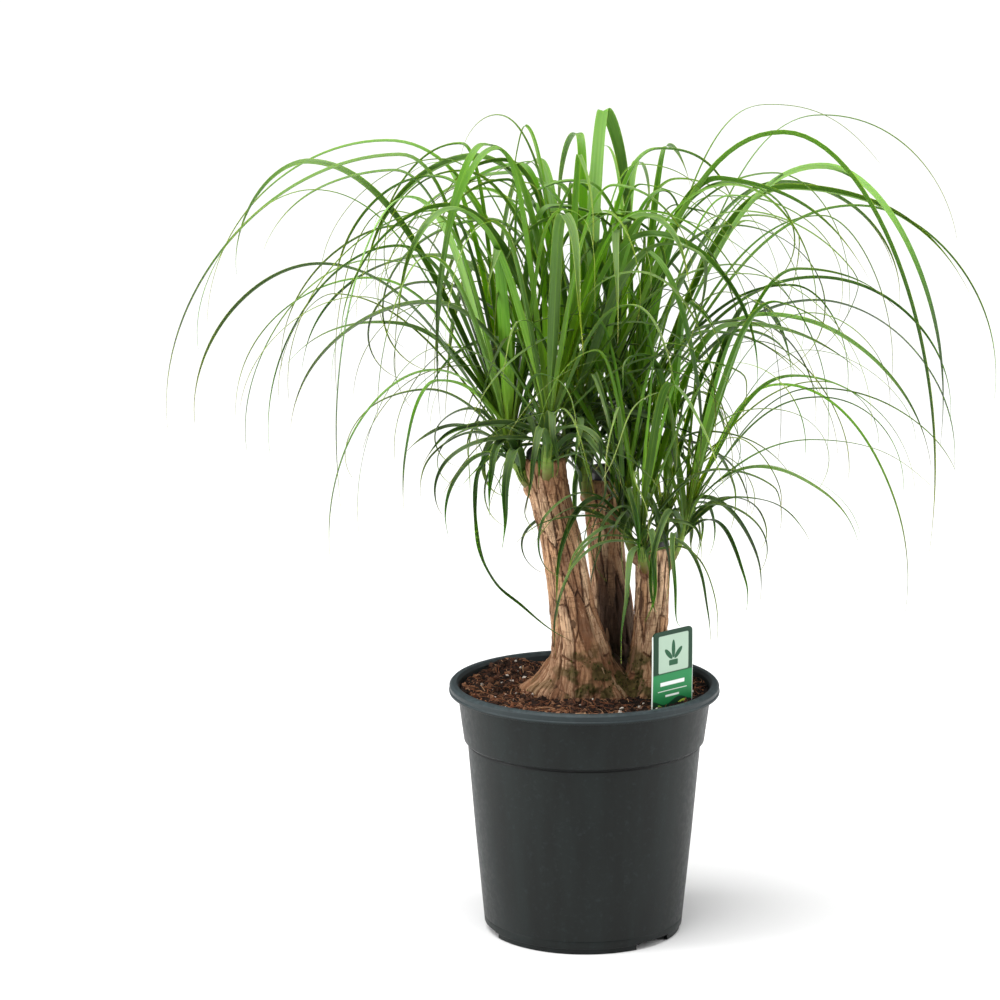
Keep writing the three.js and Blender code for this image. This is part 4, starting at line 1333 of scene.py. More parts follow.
def grain_mesh(name, roughness, seed, form):
    """An irregular grain about 1 mm across, with few faces, because it is repeated so often."""
    shape = bmesh.new()
    bmesh.ops.create_icosphere(shape, subdivisions=1, radius=0.55 * MM)
    places = np.array([corner.co[:] for corner in shape.verts]) / MM
    sizes = 1 + roughness * layered_noise(places * 2.1 + seed, seed, 2)
    for corner, size in zip(shape.verts, sizes):
        corner.co = corner.co * Vector(form) * size
    return mesh_of(name, shape)


# What is strewn: how many grains on each square metre, the seed, the smallest and largest size, how irregular a
# grain is, and its form as shares of its size.
Strewing = namedtuple("Strewing", "per_area seed smallest largest roughness form", defaults=[(1, 1, 0.7)])
HUSK_CHIPS = Strewing(9000, 5, 1.6, 5.5, 0.8, (2, 0.8, 0.35))
PERLITE_GRAINS = Strewing(2300, 8, 1.8, 5.2, 0.9)
MOSS_TUFTS = Strewing(90000, 12, 0.8, 2.6, 1.2)
GRAIN_SHARP_ANGLE = 40
GROUND_MARKS = ("open_ground", "crack", "tone", "moss", "soot", "callus", "grain")  # what no grain needs


def strewn(name, ground, tree, material, plan):
    """A piece of grains over some ground, as the plan says."""
    grain = shown("grain", grain_mesh("grain", plan.roughness, plan.seed, plan.form))
    piece = shown(name, ground.data.copy())
    run_shape_tree(piece, tree, grain=grain, material=material, **plan._asdict())
    discard(grain)
    drop_attributes(piece.data, GROUND_MARKS)
    shade(piece.data, GRAIN_SHARP_ANGLE)
    return piece


FIBRE_POINTS = 7
FIBRE_REACH = (106, 107)  # how far from the axis a fibre may start and lie


def fibre_strands(count):
    """Thin root hairs and bits of husk that lie on the peat."""
    strands = []
    t = np.linspace(0, 1, FIBRE_POINTS)
    for k in range(count):
        angle, radius = math.tau * draw(k, 1, 41), FIBRE_REACH[0] * math.sqrt(draw(k, 2, 42))
        start = radius * heading(angle)
        if open_ground(np.array([[start[0], start[1], SOIL_Z]]))[0] < 0.5:
            continue
        turn = math.tau * draw(k, 3, 43) + 1.6 * (draw(k, 4, 44) - 0.5) * t
        step = (5 + 20 * draw(k, 5, 45) ** 2) / (FIBRE_POINTS - 1)
        x = start[0] + np.concatenate([[0], np.cumsum(step * np.cos(turn[:-1]))])
        y = start[1] + np.concatenate([[0], np.cumsum(step * np.sin(turn[:-1]))])
        inside = np.minimum(1, FIBRE_REACH[1] / np.maximum(1, np.hypot(x, y)))
        x, y = x * inside, y * inside
        z = soil_height(x, y) + 0.6 + 2.2 * draw(k, 6, 46) * np.sin(np.pi * t)
        z += 1.5 * (draw(k, 7, 47) - 0.4) * t
        path = np.stack([x, y, z], axis=1)
        tangents = tangents_of(path)
        side = unit(np.cross(tangents, UP + np.array([0.02, 0.05, 0])))
        half_width = (0.16 + 0.3 * draw(k, 8, 48) ** 2) * (1 - 0.6 * t)
        strands.append(Strand(path, side, half_width, 0, {"tint": draw(k, 9, 49)}))
    return strands


def soil_material(settings):
    """Peat in clumps of two browns with bits of husk in it, darker towards the right with painted shadow of the
    crown, the right cane and the label.
    """
    material, tree, shader = new_finish("peat", 0.95, 0.25)
    place = object_place(tree)
    coarse = pattern(tree, place, 6 * MM, detail=4)
    fine = pattern(tree, place, 1.2 * MM, detail=4, roughness=0.7)
    tint = attribute(tree, "tint")
    base = coated(
        tree, settings.dark_colour,
        (coarse, 0.3, 0.7, 1.0, settings.light_colour),
        (fine, 0.5, 0.8, 0.6, settings.husk_colour),
        (tint, 0.62, 1.0, 0.9, settings.husk_colour),
        (tint, 0.45, 0.05, 0.8, settings.dark_colour),
        # Painted shadow of the crown, the right cane and the label towards the right.
        (part_of(tree, place, "X"), -20 * MM, 60 * MM, 0.85, settings.dark_colour),
    )
    rough = bumped(tree, fine, 1.2 * MM, 0.9, bumped(tree, coarse, 2 * MM, 0.6))
    connect(tree, shader, colour=base, normal=rough)
    return material


def fibre_material():
    """Dry fibres and husk, each of its own brown."""
    material, tree, shader = new_finish("husk_fibre", 0.8, 0.3)
    colour = ramp(tree, attribute(tree, "tint"), [
        (0.0, (70, 38, 24)), (0.5, (118, 70, 44)), (0.85, (156, 108, 74)), (1.0, (196, 156, 118)),
    ])
    grain = pattern(tree, object_place(tree), 0.6 * MM)
    connect(tree, shader, colour=colour, normal=bumped(tree, grain, 0.3 * MM, 0.6))
    return material


def perlite_material(settings):
    """White, pitted grains with dirt from the peat on them."""
    material, tree, shader = new_finish("perlite", 0.75, 0.4)
    place = object_place(tree)
    pits = pattern(tree, place, 0.7 * MM, detail=3, roughness=0.7)
    dirt = pattern(tree, place, 2 * MM, detail=2)
    base = coated(tree, settings.perlite_colour, (dirt, 0.45, 0.75, 0.5, screen(150, 118, 92)))
    connect(tree, shader, colour=base, normal=bumped(tree, pits, 0.6 * MM, 0.8))
    return material


# ---- trunk ----

TRUNK_VOXEL = 1.1
TRUNK_SMOOTHING = 14
CALLUS_SHARE = 0.07  # how far up a shoot the callus round its foot is centred
CALLUS_WIDTH = 1.1  # how far it stands out round the shoot
LIMB_SIDES = 56
LIMB_GIRTHS = {"base": 40, "left": 18, "middle": 17, "right": 16}  # radius at which its grain is laid round it
GRAIN_LIFT = 37  # how far one limb's grain is shifted up from the last one's, so that no two are alike
LEAST_SHARE = 0.02  # how near a limb has to be to a place to have a say in its bark

# The bark's relief, and the width and height of the smaller plates that its slits cut.
PLATE_RELIEF = 1.1
SWELLING = 0.6
CRACK_DEPTH = 1.5
SLIT_DEPTH = 0.6
RIB_HEIGHT = 0.45
FIBRE_RELIEF = 0.3
SMALL_PLATE = (4.2, 26)
MOSS_LUMPS = 1.6


def limb_mesh(name):
    """One limb as a plain tube, closed at both ends."""
    angles = 2 * np.pi * np.arange(LIMB_SIDES) / LIMB_SIDES
    rings = [
        np.stack([x + across * np.cos(angles), y + deep * np.sin(angles), np.full(LIMB_SIDES, z)], axis=1)
        for x, y, z, across, deep in LIMB_AXES[name]
    ]
    return mesh_from(name, np.vstack(rings), ring_faces(len(rings), LIMB_SIDES))


def bark_grain(places):
    """How near each place is to each limb, and its place in that limb's own grain: round the limb and up it."""
    shares, grains = [], []
    for number, name in enumerate(LIMBS):
        x, y, across, deep = limb_at(name, places[:, 2])
        east, north = (places[:, 0] - x) / across, (places[:, 1] - y) / deep
        above = np.maximum(0, places[:, 2] - LIMBS[name][-1][2]) / 6
        shares.append(np.exp(-9 * (np.hypot(east, north) + above)))
        angle, girth = np.arctan2(north, east), LIMB_GIRTHS[name]
        up = places[:, 2] + GRAIN_LIFT * number
        grains.append(np.stack([girth * np.cos(angle), girth * np.sin(angle), up], axis=1))
    shares = np.array(shares)
    return shares / shares.sum(axis=0), grains


def plates_at(turn, up, size, count, seed):
    """The tone, from 0 to 1, of the plate of bark that each place lies on, and how far the plate's edge is.

    So many plates of about this size go round the limb. The place is a share of a turn, and a height.
    """
    points = np.stack([turn * count, up / size[1]], axis=1)
    cells = np.floor(points).astype(np.int64)
    gaps, middles = np.full((2, len(points)), 9.0), np.zeros((2, len(points), 2))
    tone = np.zeros(len(points))
    for step in np.ndindex(3, 3):
        cell = cells + step - 1
        key = np.stack([cell[:, 0] % count, cell[:, 1], 0 * cell[:, 1]], axis=1)
        middle = cell + 0.1 + 0.8 * np.stack([scrambled(key, seed + k) % 997 / 997 for k in range(2)], axis=1)
        gap = np.linalg.norm(middle - points, axis=1)
        first, second = gap < gaps[0], gap < gaps[1]
        gaps[1] = np.where(first, gaps[0], np.where(second, gap, gaps[1]))
        middles[1] = np.where(first[:, None], middles[0], np.where(second[:, None], middle, middles[1]))
        gaps[0] = np.where(first, gap, gaps[0])
        middles[0] = np.where(first[:, None], middle, middles[0])
        tone = np.where(first, scrambled(key, seed + 3) % 997 / 997, tone)
    slope = 2 * np.linalg.norm((middles[1] - middles[0]) / size, axis=1)
    return tone, (gaps[1] ** 2 - gaps[0] ** 2) / slope


def bark_form(grain, plate, seed):
    """The bark's height, its cracks and its plates' tones, both 0 to 1, at places in a limb's grain.

    The plate is the width and height of the bark's plates. Each is split by slits into smaller ones.
    """
    waver = np.stack([noise_at(grain / (13, 13, 44), seed + k) for k in range(3)], axis=1) * (2.4, 2.4, 10)
    bent = grain + waver
    turn = np.arctan2(bent[:, 1], bent[:, 0]) / math.tau % 1
    round_limb = math.tau * np.median(np.hypot(grain[:, 0], grain[:, 1]))
    tone, edge = plates_at(turn, bent[:, 2], plate, round(round_limb / plate[0]), seed)
    _, fine_edge = plates_at(turn, bent[:, 2], SMALL_PLATE, round(round_limb / SMALL_PLATE[0]), seed + 7)
    patchy = smooth_step(noise_at(grain / (14, 14, 46), seed + 6), -0.4, 0.15)
    crack = smooth_step(-edge, -1.0, -0.2) * patchy
    slit = smooth_step(-fine_edge, -0.55, -0.1)
    slit *= smooth_step(noise_at(grain / (9, 9, 34), seed + 9), -0.25, 0.2)
    ribs = 1 - 2.2 * np.abs(noise_at(bent / (3.2, 3.2, 18), seed + 12))
    height = PLATE_RELIEF * tone + SWELLING * noise_at(bent / (8, 8, 50), seed + 5)
    height += RIB_HEIGHT * ribs - CRACK_DEPTH * crack - SLIT_DEPTH * slit
    height += FIBRE_RELIEF * noise_at(bent / (1.6, 1.6, 12), seed + 10)
    hollow = 0.3 * smooth_step(-ribs, -0.1, 0.5)
    return height, np.clip(crack + 0.5 * slit + hollow, 0, 1), tone


def moss_at(places):
    """How mossy the trunk is: thick at the foot of its front and right, thin higher up."""
    low = smooth_step(-places[:, 2], -292, -232)
    side = smooth_step(places[:, 0] - 0.35 * places[:, 1], -18, 10)
    patches = smooth_step(layered_noise(places / 13, 31), -0.35, 0.4)
    return low * patches * (0.5 + 0.5 * side)


def fork_shade_at(places):
    """How much painted shade darkens the trunk: in the fork, and up the face of the middle cane."""
    from_fork = np.hypot((places[:, 0] - 30) / 21, (places[:, 1] - 10) / 25)
    ragged = 0.12 * layered_noise(places / (7, 7, 26), 43)
    return smooth_step(-(from_fork + ragged), -1.25, -0.8) * smooth_step(-places[:, 2], -365, -285)


def callus_at(places):
    """How near each place is to the foot of a shoot of the right cane, where the bark is red-brown."""
    nearest = np.full(len(places), 99.0)
    for head in HEADS:
        if on_right_cane(head):
            foot = place_at(curve_through(head.shoot), CALLUS_SHARE)
            nearest = np.minimum(nearest, np.linalg.norm(places - foot, axis=1) - head.radius)
    return 0.8 * smooth_step(-nearest + 1.2 * layered_noise(places / 4, 57), -2.8, -0.5)


def trunk_skin():
    """The canes and their common foot as one smooth skin, with a callus where each shoot breaks out."""
    joined = bmesh.new()
    for name in LIMBS:
        mesh = limb_mesh(name)
        joined.from_mesh(mesh)
        bpy.data.meshes.remove(mesh)
    for head in HEADS:
        place = Vector(place_at(curve_through(head.shoot), CALLUS_SHARE) * MM)
        size = (head.radius + CALLUS_WIDTH) * MM
        bmesh.ops.create_icosphere(joined, subdivisions=3, radius=size, matrix=Matrix.Translation(place))
    trunk = shown("trunk_bark", mesh_of("trunk_bark", joined))
    skin = trunk.modifiers.new("skin", "REMESH")
    skin.mode = "VOXEL"
    skin.voxel_size = TRUNK_VOXEL * MM
    soften = trunk.modifiers.new("soften", "SMOOTH")
    soften.iterations = TRUNK_SMOOTHING
    apply_modifiers(trunk)
    return trunk


def carve_bark(mesh, plate):
    """Carves a skin into bark, and stores on it what its material needs."""
    places, directions = corners_of(mesh), at_corners(mesh, "normal")
    shares, grains = bark_grain(places)
    height, crack, tone = np.zeros((3, len(places)))
    own_grain = np.zeros((len(places), 3))
    for number, (share, grain) in enumerate(zip(shares, grains)):
        near = share > LEAST_SHARE
        for total, part in zip((height, crack, tone), bark_form(grain[near], plate, 100 * number)):
            total[near] += share[near] * part
        own_grain[share > 0.5] = grain[share > 0.5]
    # Flat tops are smoother, and the foot is rougher.
    level = 1 - 0.8 * smooth_step(directions[:, 2], 0.6, 0.95)
    level *= 1 + 0.7 * smooth_step(-places[:, 2], -290, -235)
    moss = moss_at(places)
    lumps = MOSS_LUMPS * moss * layered_noise(places / 5, 51)
    move_corners(mesh, places + directions * (level * height + lumps)[:, None])
    crack = np.clip(crack * level, 0, 1)
    soot, callus = fork_shade_at(places), callus_at(places)
    store(mesh, crack=crack, tone=tone, moss=moss, soot=soot, callus=callus, grain=own_grain * MM)
    shade(mesh)


# Where shreds of bark lie: the limbs in turn, the lowest place, and the heights between which they start.
SHRED_LIMBS = ("left", "left", "middle", "right", "base")
SHRED_FOOT = 212
SHRED_HEIGHTS = {"left": (228, 423), "middle": (228, 393), "right": (228, 341), "base": (214, 238)}
SHRED_POINTS = 8


def shred_strands(count):
    """Thin strips of bark that lift a little from the canes at one end."""
    strands = []
    t = np.linspace(0, 1, SHRED_POINTS)
    for k in range(count):
        name = SHRED_LIMBS[k % len(SHRED_LIMBS)]
        low, high = SHRED_HEIGHTS[name]
        start = low + (high - low) * draw(k, 1, 61)
        angle = math.tau * draw(k, 2, 62)
        length = 7 + 18 * draw(k, 3, 63) ** 2
        heights = np.clip(start + length * (t - 0.5), SHRED_FOOT, LIMBS[name][-1][2])
        x, y, across, deep = limb_at(name, heights)
        loose_end = t if draw(k, 5, 65) < 0.5 else 1 - t
        lift = 0.9 + 0.8 * draw(k, 4, 64) * loose_end**2
        turn = angle + 0.15 * (draw(k, 6, 66) - 0.5) * t
        path = np.stack([x + (across + lift) * np.cos(turn), y + (deep + lift) * np.sin(turn), heights], axis=1)
        away = np.stack([np.cos(turn), np.sin(turn), 0 * t], axis=1)
        side = unit(np.cross(tangents_of(path), away))
        half_width = (0.7 + 1.5 * draw(k, 7, 67)) * (0.2 + np.sin(np.pi * np.clip(t, 0.06, 0.94))) / 1.2
        strands.append(Strand(path, side, half_width, 0, {"tint": draw(k, 8, 68)}))
    return strands


def bark_material(settings):
    """Fibrous bark in long brown plates, with dark cracks, moss low down, painted shade in the fork and painted
    shadow of the crown on the canes' tops.
    """
    material, tree, shader = new_finish("fissured_bark", 0.85, 0.25)
    grain = attribute(tree, "grain", "Vector")
    place = object_place(tree)
    fibres = pattern(tree, grain, 1.4 * MM, detail=4, roughness=0.65, stretch=(1, 1, 0.1))
    flakes = pattern(tree, grain, 3.4 * MM, detail=5, roughness=0.75, stretch=(1, 1, 0.22))
    bands = pattern(tree, grain, 5 * MM, detail=3, stretch=(1, 1, 0.1))
    scars = pattern(tree, grain, 1.8 * MM, detail=2, stretch=(0.14, 0.14, 1))
    blotches = pattern(tree, place, 22 * MM, detail=3)
    slits = crack_lines(tree, grain, 3 * MM, 0.07, (1, 1, 0.09))
    slits = times(tree, slits, stepped(tree, bands, 0.4, 0.55))
    crack, tone, moss, soot = (attribute(tree, name) for name in ("crack", "tone", "moss", "soot"))
    across, height = part_of(tree, place, "X"), part_of(tree, place, "Z")
    shade = maths(tree, "ADD", times(tree, tone, 0.62), times(tree, bands, 0.4))
    shade = maths(tree, "ADD", shade, stepped(tree, across, 36 * MM, 52 * MM, 0.03, 0.26))
    base = coated(
        tree, settings.brown_colour,
        (shade, 0.25, 0.55, 1.0, settings.tan_colour),
        (shade, 0.55, 0.85, 1.0, settings.pale_colour),
        (blotches, 0.45, 0.7, 0.55, settings.grey_colour),
        (flakes, 0.5, 0.61, 0.6, settings.brown_colour),
        (flakes, 0.58, 0.68, 0.7, settings.fibre_colour),
        (flakes, 0.44, 0.3, 0.75, settings.pale_colour),
        (fibres, 0.5, 0.68, 0.6, settings.fibre_colour),
        (scars, 0.56, 0.68, 0.4, settings.fibre_colour),
    )
    base = mixed(tree, times(tree, slits, 0.5), base, settings.fibre_colour)
    base = coated(
        tree, base,
        (crack, 0.05, 0.5, 0.75, settings.fibre_colour),
        (crack, 0.5, 1.0, 0.85, settings.crack_colour),
        (height, 320 * MM, 236 * MM, 0.55, settings.brown_colour),
        # Painted shadow of the crown over the tops of the left and middle canes.
        (height, 385 * MM, 430 * MM, 0.65, settings.brown_colour),
    )
    base = mixed(tree, attribute(tree, "callus"), base, settings.callus_colour)
    base = coated(tree, base, (moss, 0.15, 0.85, 0.85, settings.moss_colour))
    # Painted shade in the fork between the canes.
    base = mixed(tree, times(tree, soot, 0.85), base, settings.damp_colour)
    rough = bumped(tree, slits, -0.5 * MM, 0.7, bumped(tree, bands, 1 * MM, 0.5))
    rough = bumped(tree, flakes, -1.2 * MM, 0.6, bumped(tree, scars, -0.4 * MM, 0.5, rough))
    connect(tree, shader, colour=base, normal=bumped(tree, fibres, 0.8 * MM, 0.9, rough))
    return material


def shred_material():
    """Dry strips of bark, each of its own brown, with darker fibres."""
    material, tree, shader = new_finish("loose_bark", 0.85, 0.3)
    browns = [(0.0, (84, 58, 40)), (0.5, (138, 106, 78)), (1.0, (182, 152, 120))]
    base = ramp(tree, attribute(tree, "tint"), browns)
    fibres = pattern(tree, object_place(tree), 0.8 * MM, detail=2, stretch=(1, 1, 0.15))
    base = coated(tree, base, (fibres, 0.4, 0.7, 0.5, screen(96, 68, 46)))
    connect(tree, shader, colour=base, normal=bumped(tree, fibres, 0.4 * MM, 0.8))
    return material


def moss_material(settings):
    """Tufts of moss between a dark and a light olive, darker in their depths."""
    material, tree, shader = new_finish("moss", 0.95, 0.2)
    fine = pattern(tree, object_place(tree), 0.8 * MM, detail=3)
    base = mixed(tree, attribute(tree, "tint"), settings.dark_tuft_colour, settings.light_tuft_colour)
    base = coated(tree, base, (fine, 0.4, 0.7, 0.6, screen(40, 38, 20)))
    connect(tree, shader, colour=base, normal=bumped(tree, fine, 0.6 * MM, 0.9))
    return material


# ---- wax on the cut tops ----

WAX_FOOT = -1.5  # where the wax's underside lies, from the cut
WAX_LIFT = 0.35  # how far a cap stands off its cane
WAX_SIDES = 64
WAX_STEP = 0.8  # largest step between its rings
WAX_DIMPLES = 0.55
WAX_RUNS = 0.7


def wax_mesh(name, number):
    """A dome of thick wax, dimpled by the brush, with a rolled foot that runs over the cut's edge."""
    cane, shift, radius, height = CAPS[name]
    x, y, z = LIMBS[cane][-1][:3]
    profile = rounded([
        (0, WAX_FOOT, 0), (radius * 0.9, WAX_FOOT, 1), (radius * 1.02, 0.6, 1.2),
        (radius * 0.99, height * 0.45, 4), (radius * 0.72, height * 0.88, 5), (0, height, 0),
    ])
    finer = [profile[0]]
    for start, end in zip(profile, profile[1:]):
        count = max(1, int(np.linalg.norm(end - start) / WAX_STEP))
        finer += [start + (end - start) * k / count for k in range(1, count + 1)]
    mesh = lathe(name, finer, WAX_SIDES)
    places = corners_of(mesh)
    dimples = WAX_DIMPLES * layered_noise(places / 6 + number, 70)
    near_foot = smooth_step(-places[:, 2], -2.5, 0.5)
    runs = WAX_RUNS * near_foot * noise_at(unit(places + 1e-6) * 3 + number, 74)
    away = unit(places * (1, 1, 0.4) + (0, 0, 0.1))
    foot = (x + shift[0], y + shift[1], z + WAX_LIFT)
    move_corners(mesh, places + away * (dimples + runs)[:, None] + foot)
    return mesh


def wax_material(settings):
    """Black wax with a dull grey film in patches."""
    material, tree, shader = new_finish("wound_wax", 0.45, 0.5)
    place = object_place(tree)
    film, fine = pattern(tree, place, 5 * MM, detail=3), pattern(tree, place, 1.1 * MM, detail=3)
    connect(
        tree, shader,
        colour=coated(tree, settings.wax_colour, (film, 0.4, 0.7, 1.0, settings.film_colour)),
        roughness=stepped(tree, fine, 0.3, 0.7, 0.35, 0.6),
        normal=bumped(tree, fine, 0.3 * MM, 0.6),
    )
    return material


# ---- settings ----


def colour_setting(name, where, red, green, blue):
    """A colour that a user can change, and where it is. Its default is given as a screen shows it."""
    colour = screen(red, green, blue)
    return FloatVectorProperty(name=name, description="Colour " + where, default=colour, subtype="COLOR")


def length_setting(name, description, default, least, most):
    """A length that a user can change, given here in millimetres."""
    return FloatProperty(
        name=name, description=description, default=default * MM, min=least * MM, max=most * MM, unit="LENGTH",
    )


def in_millimetres(length):
    """A length setting in millimetres, without the noise in its last digits."""
    return round(length / MM, 2)


class LeafSettings(bpy.types.PropertyGroup):
    underside_colour: colour_setting("Underside", "that the underside of a leaf leans to", 150, 180, 120)
    sunlit_colour: colour_setting("Sunlit", "that the highest leaves lean to", 140, 200, 56)
    vein_colour: colour_setting("Veins", "that the veins are multiplied by", 150, 190, 120)
    # The Bloom colour is a painted sheen where a leaf faces the sky.
    bloom_colour: colour_setting("Bloom", "of the pale bloom where a leaf faces the sky", 178, 206, 142)
    # The pale blades' colour is a painted glow of light shining through them.
    pale_colour: colour_setting("Pale", "of the few thin, pale blades", 164, 206, 118)
    midrib_colour: colour_setting("Midrib", "down the middle of a leaf", 132, 172, 62)
    deep_colour: colour_setting("Deep", "of the darkest blades", 30, 62, 8)
    callus_colour: colour_setting("Callus", "of a shoot where it breaks from the bark", 108, 58, 38)
    glow: FloatProperty(
        name="Glow", description="Light that passes into a leaf", default=0.5, min=0, max=1, subtype="FACTOR",
    )
    old_leaves: IntProperty(name="Old leaves", description="Old leaves at each shoot's foot", default=10, min=0)


class LabelSettings(bpy.types.PropertyGroup):
    card_colour: colour_setting("Card", "of the printed card", 28, 120, 64)
    foot_colour: colour_setting("Foot", "of the band at the card's foot", 10, 54, 32)
    panel_colour: colour_setting("Panel", "of the card's pale panel", 172, 196, 176)
    sprout_colour: colour_setting("Sprout", "of the sprout on the panel", 30, 84, 54)


class PotSettings(bpy.types.PropertyGroup):
    wall_colour: colour_setting("Wall", "of the plastic", 24, 27, 26)
    flow_colour: colour_setting("Flow marks", "of the plastic's flow marks", 28, 33, 32)
    # Dust on the plastic, also used for the painted sheen on the rim.
    dust_colour: colour_setting("Dust", "of the dust on the plastic", 78, 90, 94)
    # Painted shade in the groove under the collar.
    groove_colour: colour_setting("Groove", "in the groove under the collar", 14, 15, 15)


class SoilSettings(bpy.types.PropertyGroup):
    # The dark peat colour also paints the shadow towards the right of the bed.
    dark_colour: colour_setting("Dark peat", "of damp peat", 22, 14, 10)
    light_colour: colour_setting("Light peat", "of dry peat", 88, 58, 43)
    husk_colour: colour_setting("Husk", "of bits of husk", 156, 112, 84)
    perlite_colour: colour_setting("Perlite", "of the white grains", 228, 218, 206)
    crumbs: IntProperty(name="Crumbs", description="Crumbs on each square metre of peat", default=50000, min=0)
    largest_crumb: length_setting("Largest crumb", "Width of the largest crumbs", 7, 2, 12)
    fibres: IntProperty(name="Fibres", description="Fibres that are tried on the peat", default=900, min=0)


class BarkSettings(bpy.types.PropertyGroup):
    tan_colour: colour_setting("Tan", "of the bark's lighter bands", 204, 158, 118)
    brown_colour: colour_setting("Brown", "of the bark's darker bands", 134, 92, 64)
    grey_colour: colour_setting("Grey", "of weathered bark", 140, 112, 90)
    pale_colour: colour_setting("Pale", "of raised strips of bark", 234, 196, 158)
    fibre_colour: colour_setting("Fibres", "of the fibres", 88, 56, 37)
    crack_colour: colour_setting("Cracks", "in the cracks", 40, 26, 18)
    moss_colour: colour_setting("Moss", "of the bark under the moss", 70, 64, 28)
    dark_tuft_colour: colour_setting("Dark tufts", "of the darkest tufts of moss", 46, 46, 19)
    light_tuft_colour: colour_setting("Light tufts", "of the lightest tufts of moss", 94, 90, 41)
    callus_colour: colour_setting("Callus", "of the bark round the foot of a shoot", 98, 60, 42)
    # The Damp colour is painted shade in the fork between the canes.
    damp_colour: colour_setting("Damp", "of the damp bark in the fork", 24, 18, 14)
    plate_width: length_setting("Plate width", "Width of the bark's plates", 8, 3, 30)
    plate_height: length_setting("Plate height", "Height of the bark's plates", 50, 10, 200)
    shreds: IntProperty(name="Shreds", description="Loose strips of bark", default=150, min=5)


class WaxSettings(bpy.types.PropertyGroup):
    wax_colour: colour_setting("Wax", "of the wax on the cut tops", 20, 19, 18)
    film_colour: colour_setting("Film", "of the dull film on the wax", 46, 44, 42)


# ---- operators ----


class PALM_OT_pot(bpy.types.Operator):
    """Turn the pot and cut its drainage notches"""

    bl_idname = "palm.pot"
    bl_label = "Pot"

    def execute(self, context):
        pot = pot_piece()
        pot.data.materials.append(pot_material(context.scene.palm_pot))
        shade(pot.data, POT_SHARP_ANGLE)
        keep(pot, "pot", "pot")
        return {"FINISHED"}


class PALM_OT_soil(bpy.types.Operator):
    """Lay the peat, its crumbs, its white grains and its fibres"""

    bl_idname = "palm.soil"
    bl_label = "Soil"

    def execute(self, context):
        settings = context.scene.palm_soil
        material = soil_material(settings)
        bed = shown("soil_bed", soil_mesh(), material)
        store(bed.data, open_ground=open_ground(corners_of(bed.data)))
        shade(bed.data)
        scatter = scatter_tree()
        husk = fibre_material()
        plan = Strewing(settings.crumbs, 3, 1.4, in_millimetres(settings.largest_crumb), 0.9)
        crumbs = strewn("soil_crumbs", bed, scatter, material, plan)
        chips = strewn("husk_chips", bed, scatter, husk, HUSK_CHIPS)
        grains = strewn("perlite_grains", bed, scatter, perlite_material(settings), PERLITE_GRAINS)
        fibres = strands_piece("soil_fibres", fibre_strands(settings.fibres), strand_tree(), husk, 4, 1.0)
        for piece in (bed, crumbs, chips, grains, fibres):
            keep(piece, "soil", "soil")
        return {"FINISHED"}


class PALM_OT_trunk(bpy.types.Operator):
    """Grow the trunk, its loose bark and its moss"""

    bl_idname = "palm.trunk"
    bl_label = "Trunk"

    def execute(self, context):
        settings = context.scene.palm_bark
        plate = [in_millimetres(size) for size in (settings.plate_width, settings.plate_height)]
        trunk = trunk_skin()
        carve_bark(trunk.data, plate)
        trunk.data.materials.append(bark_material(settings))
        strips = shred_strands(settings.shreds)
        shreds = strands_piece("bark_shreds", strips, strand_tree(), shred_material(), 4, 0.28)
        store(trunk.data, open_ground=np.clip(moss_at(corners_of(trunk.data)) * 2 - 0.9, 0, 1))
        moss = strewn("moss_tufts", trunk, scatter_tree(), moss_material(settings), MOSS_TUFTS)
        for piece in (trunk, shreds, moss):
            keep(piece, "bark", "trunk")
        return {"FINISHED"}


class PALM_OT_wax(bpy.types.Operator):
    """Cap the three cut canes with wound wax"""

    bl_idname = "palm.wax"
    bl_label = "Wound Wax"

    def execute(self, context):
        material = wax_material(context.scene.palm_wax)
        for number, name in enumerate(CAPS):
            cap = shown(name + "_dome", wax_mesh(name, number), material)
            shade(cap.data)
            keep(cap, "wax", name)
        return {"FINISHED"}


class PALM_OT_label(bpy.types.Operator):
    """Cut and print the plant label"""

    bl_idname = "palm.label"
    bl_label = "Plant Label"

    def execute(self, context):
        label = shown("label_card", label_mesh(), label_material(context.scene.palm_label))
        shade(label.data, CARD_SHARP_ANGLE)
        keep(label, "label", "plant_label")
        return {"FINISHED"}


class PALM_OT_heads(bpy.types.Operator):
    """Grow each head: its shoot and all its leaves"""

    bl_idname = "palm.heads"
    bl_label = "Heads of Leaves"

    def execute(self, context):
        settings = context.scene.palm_leaf
        green, skin = leaf_material(settings), shoot_material(settings)
        tree = strand_tree()
        shoots = {head.name: curve_through(head.shoot) for head in HEADS}
        for index, head in enumerate(HEADS):
            blades = leaves_of(head, index, shoots, settings.old_leaves)
            stem = [shoot_strand(shoots[head.name], head)]
            leaves = strands_piece(head.name + "_leaves", blades, tree, green, BLADE_SIDES, BLADE_FLATNESS)
            shoot = strands_piece(head.name + "_shoot", stem, tree, skin, SHOOT_SIDES, 1.0)
            keep(leaves, "leaf", head.name)
            keep(shoot, "leaf", head.name)
        return {"FINISHED"}


# The stage, in metres: the floor, the sky and its panel of soft sunlight, the boxes of light and the camera.
FLOOR_REACH = 30
FLOOR_LIGHTNESS = 0.9
AIR_STRENGTH = 0.16
SKY_STRENGTH = 3.7
SKY_ANGLE = 55
SKY_DIRECTION = (0.2, 0.3, -1.2)
BOX_WIDTH = 1.2
LIGHT_BOXES = {"left_box": ((-1.7, -0.3, 0.8), 26), "right_box": ((1.7, -0.1, 0.8), 20)}
BOX_TARGET = (0, 0, 0.4)
CAMERA_PLACE = (-0.0747, -3.1051, 1.0149)
CAMERA_DIP = 11.4
CAMERA_LENS = 129.9


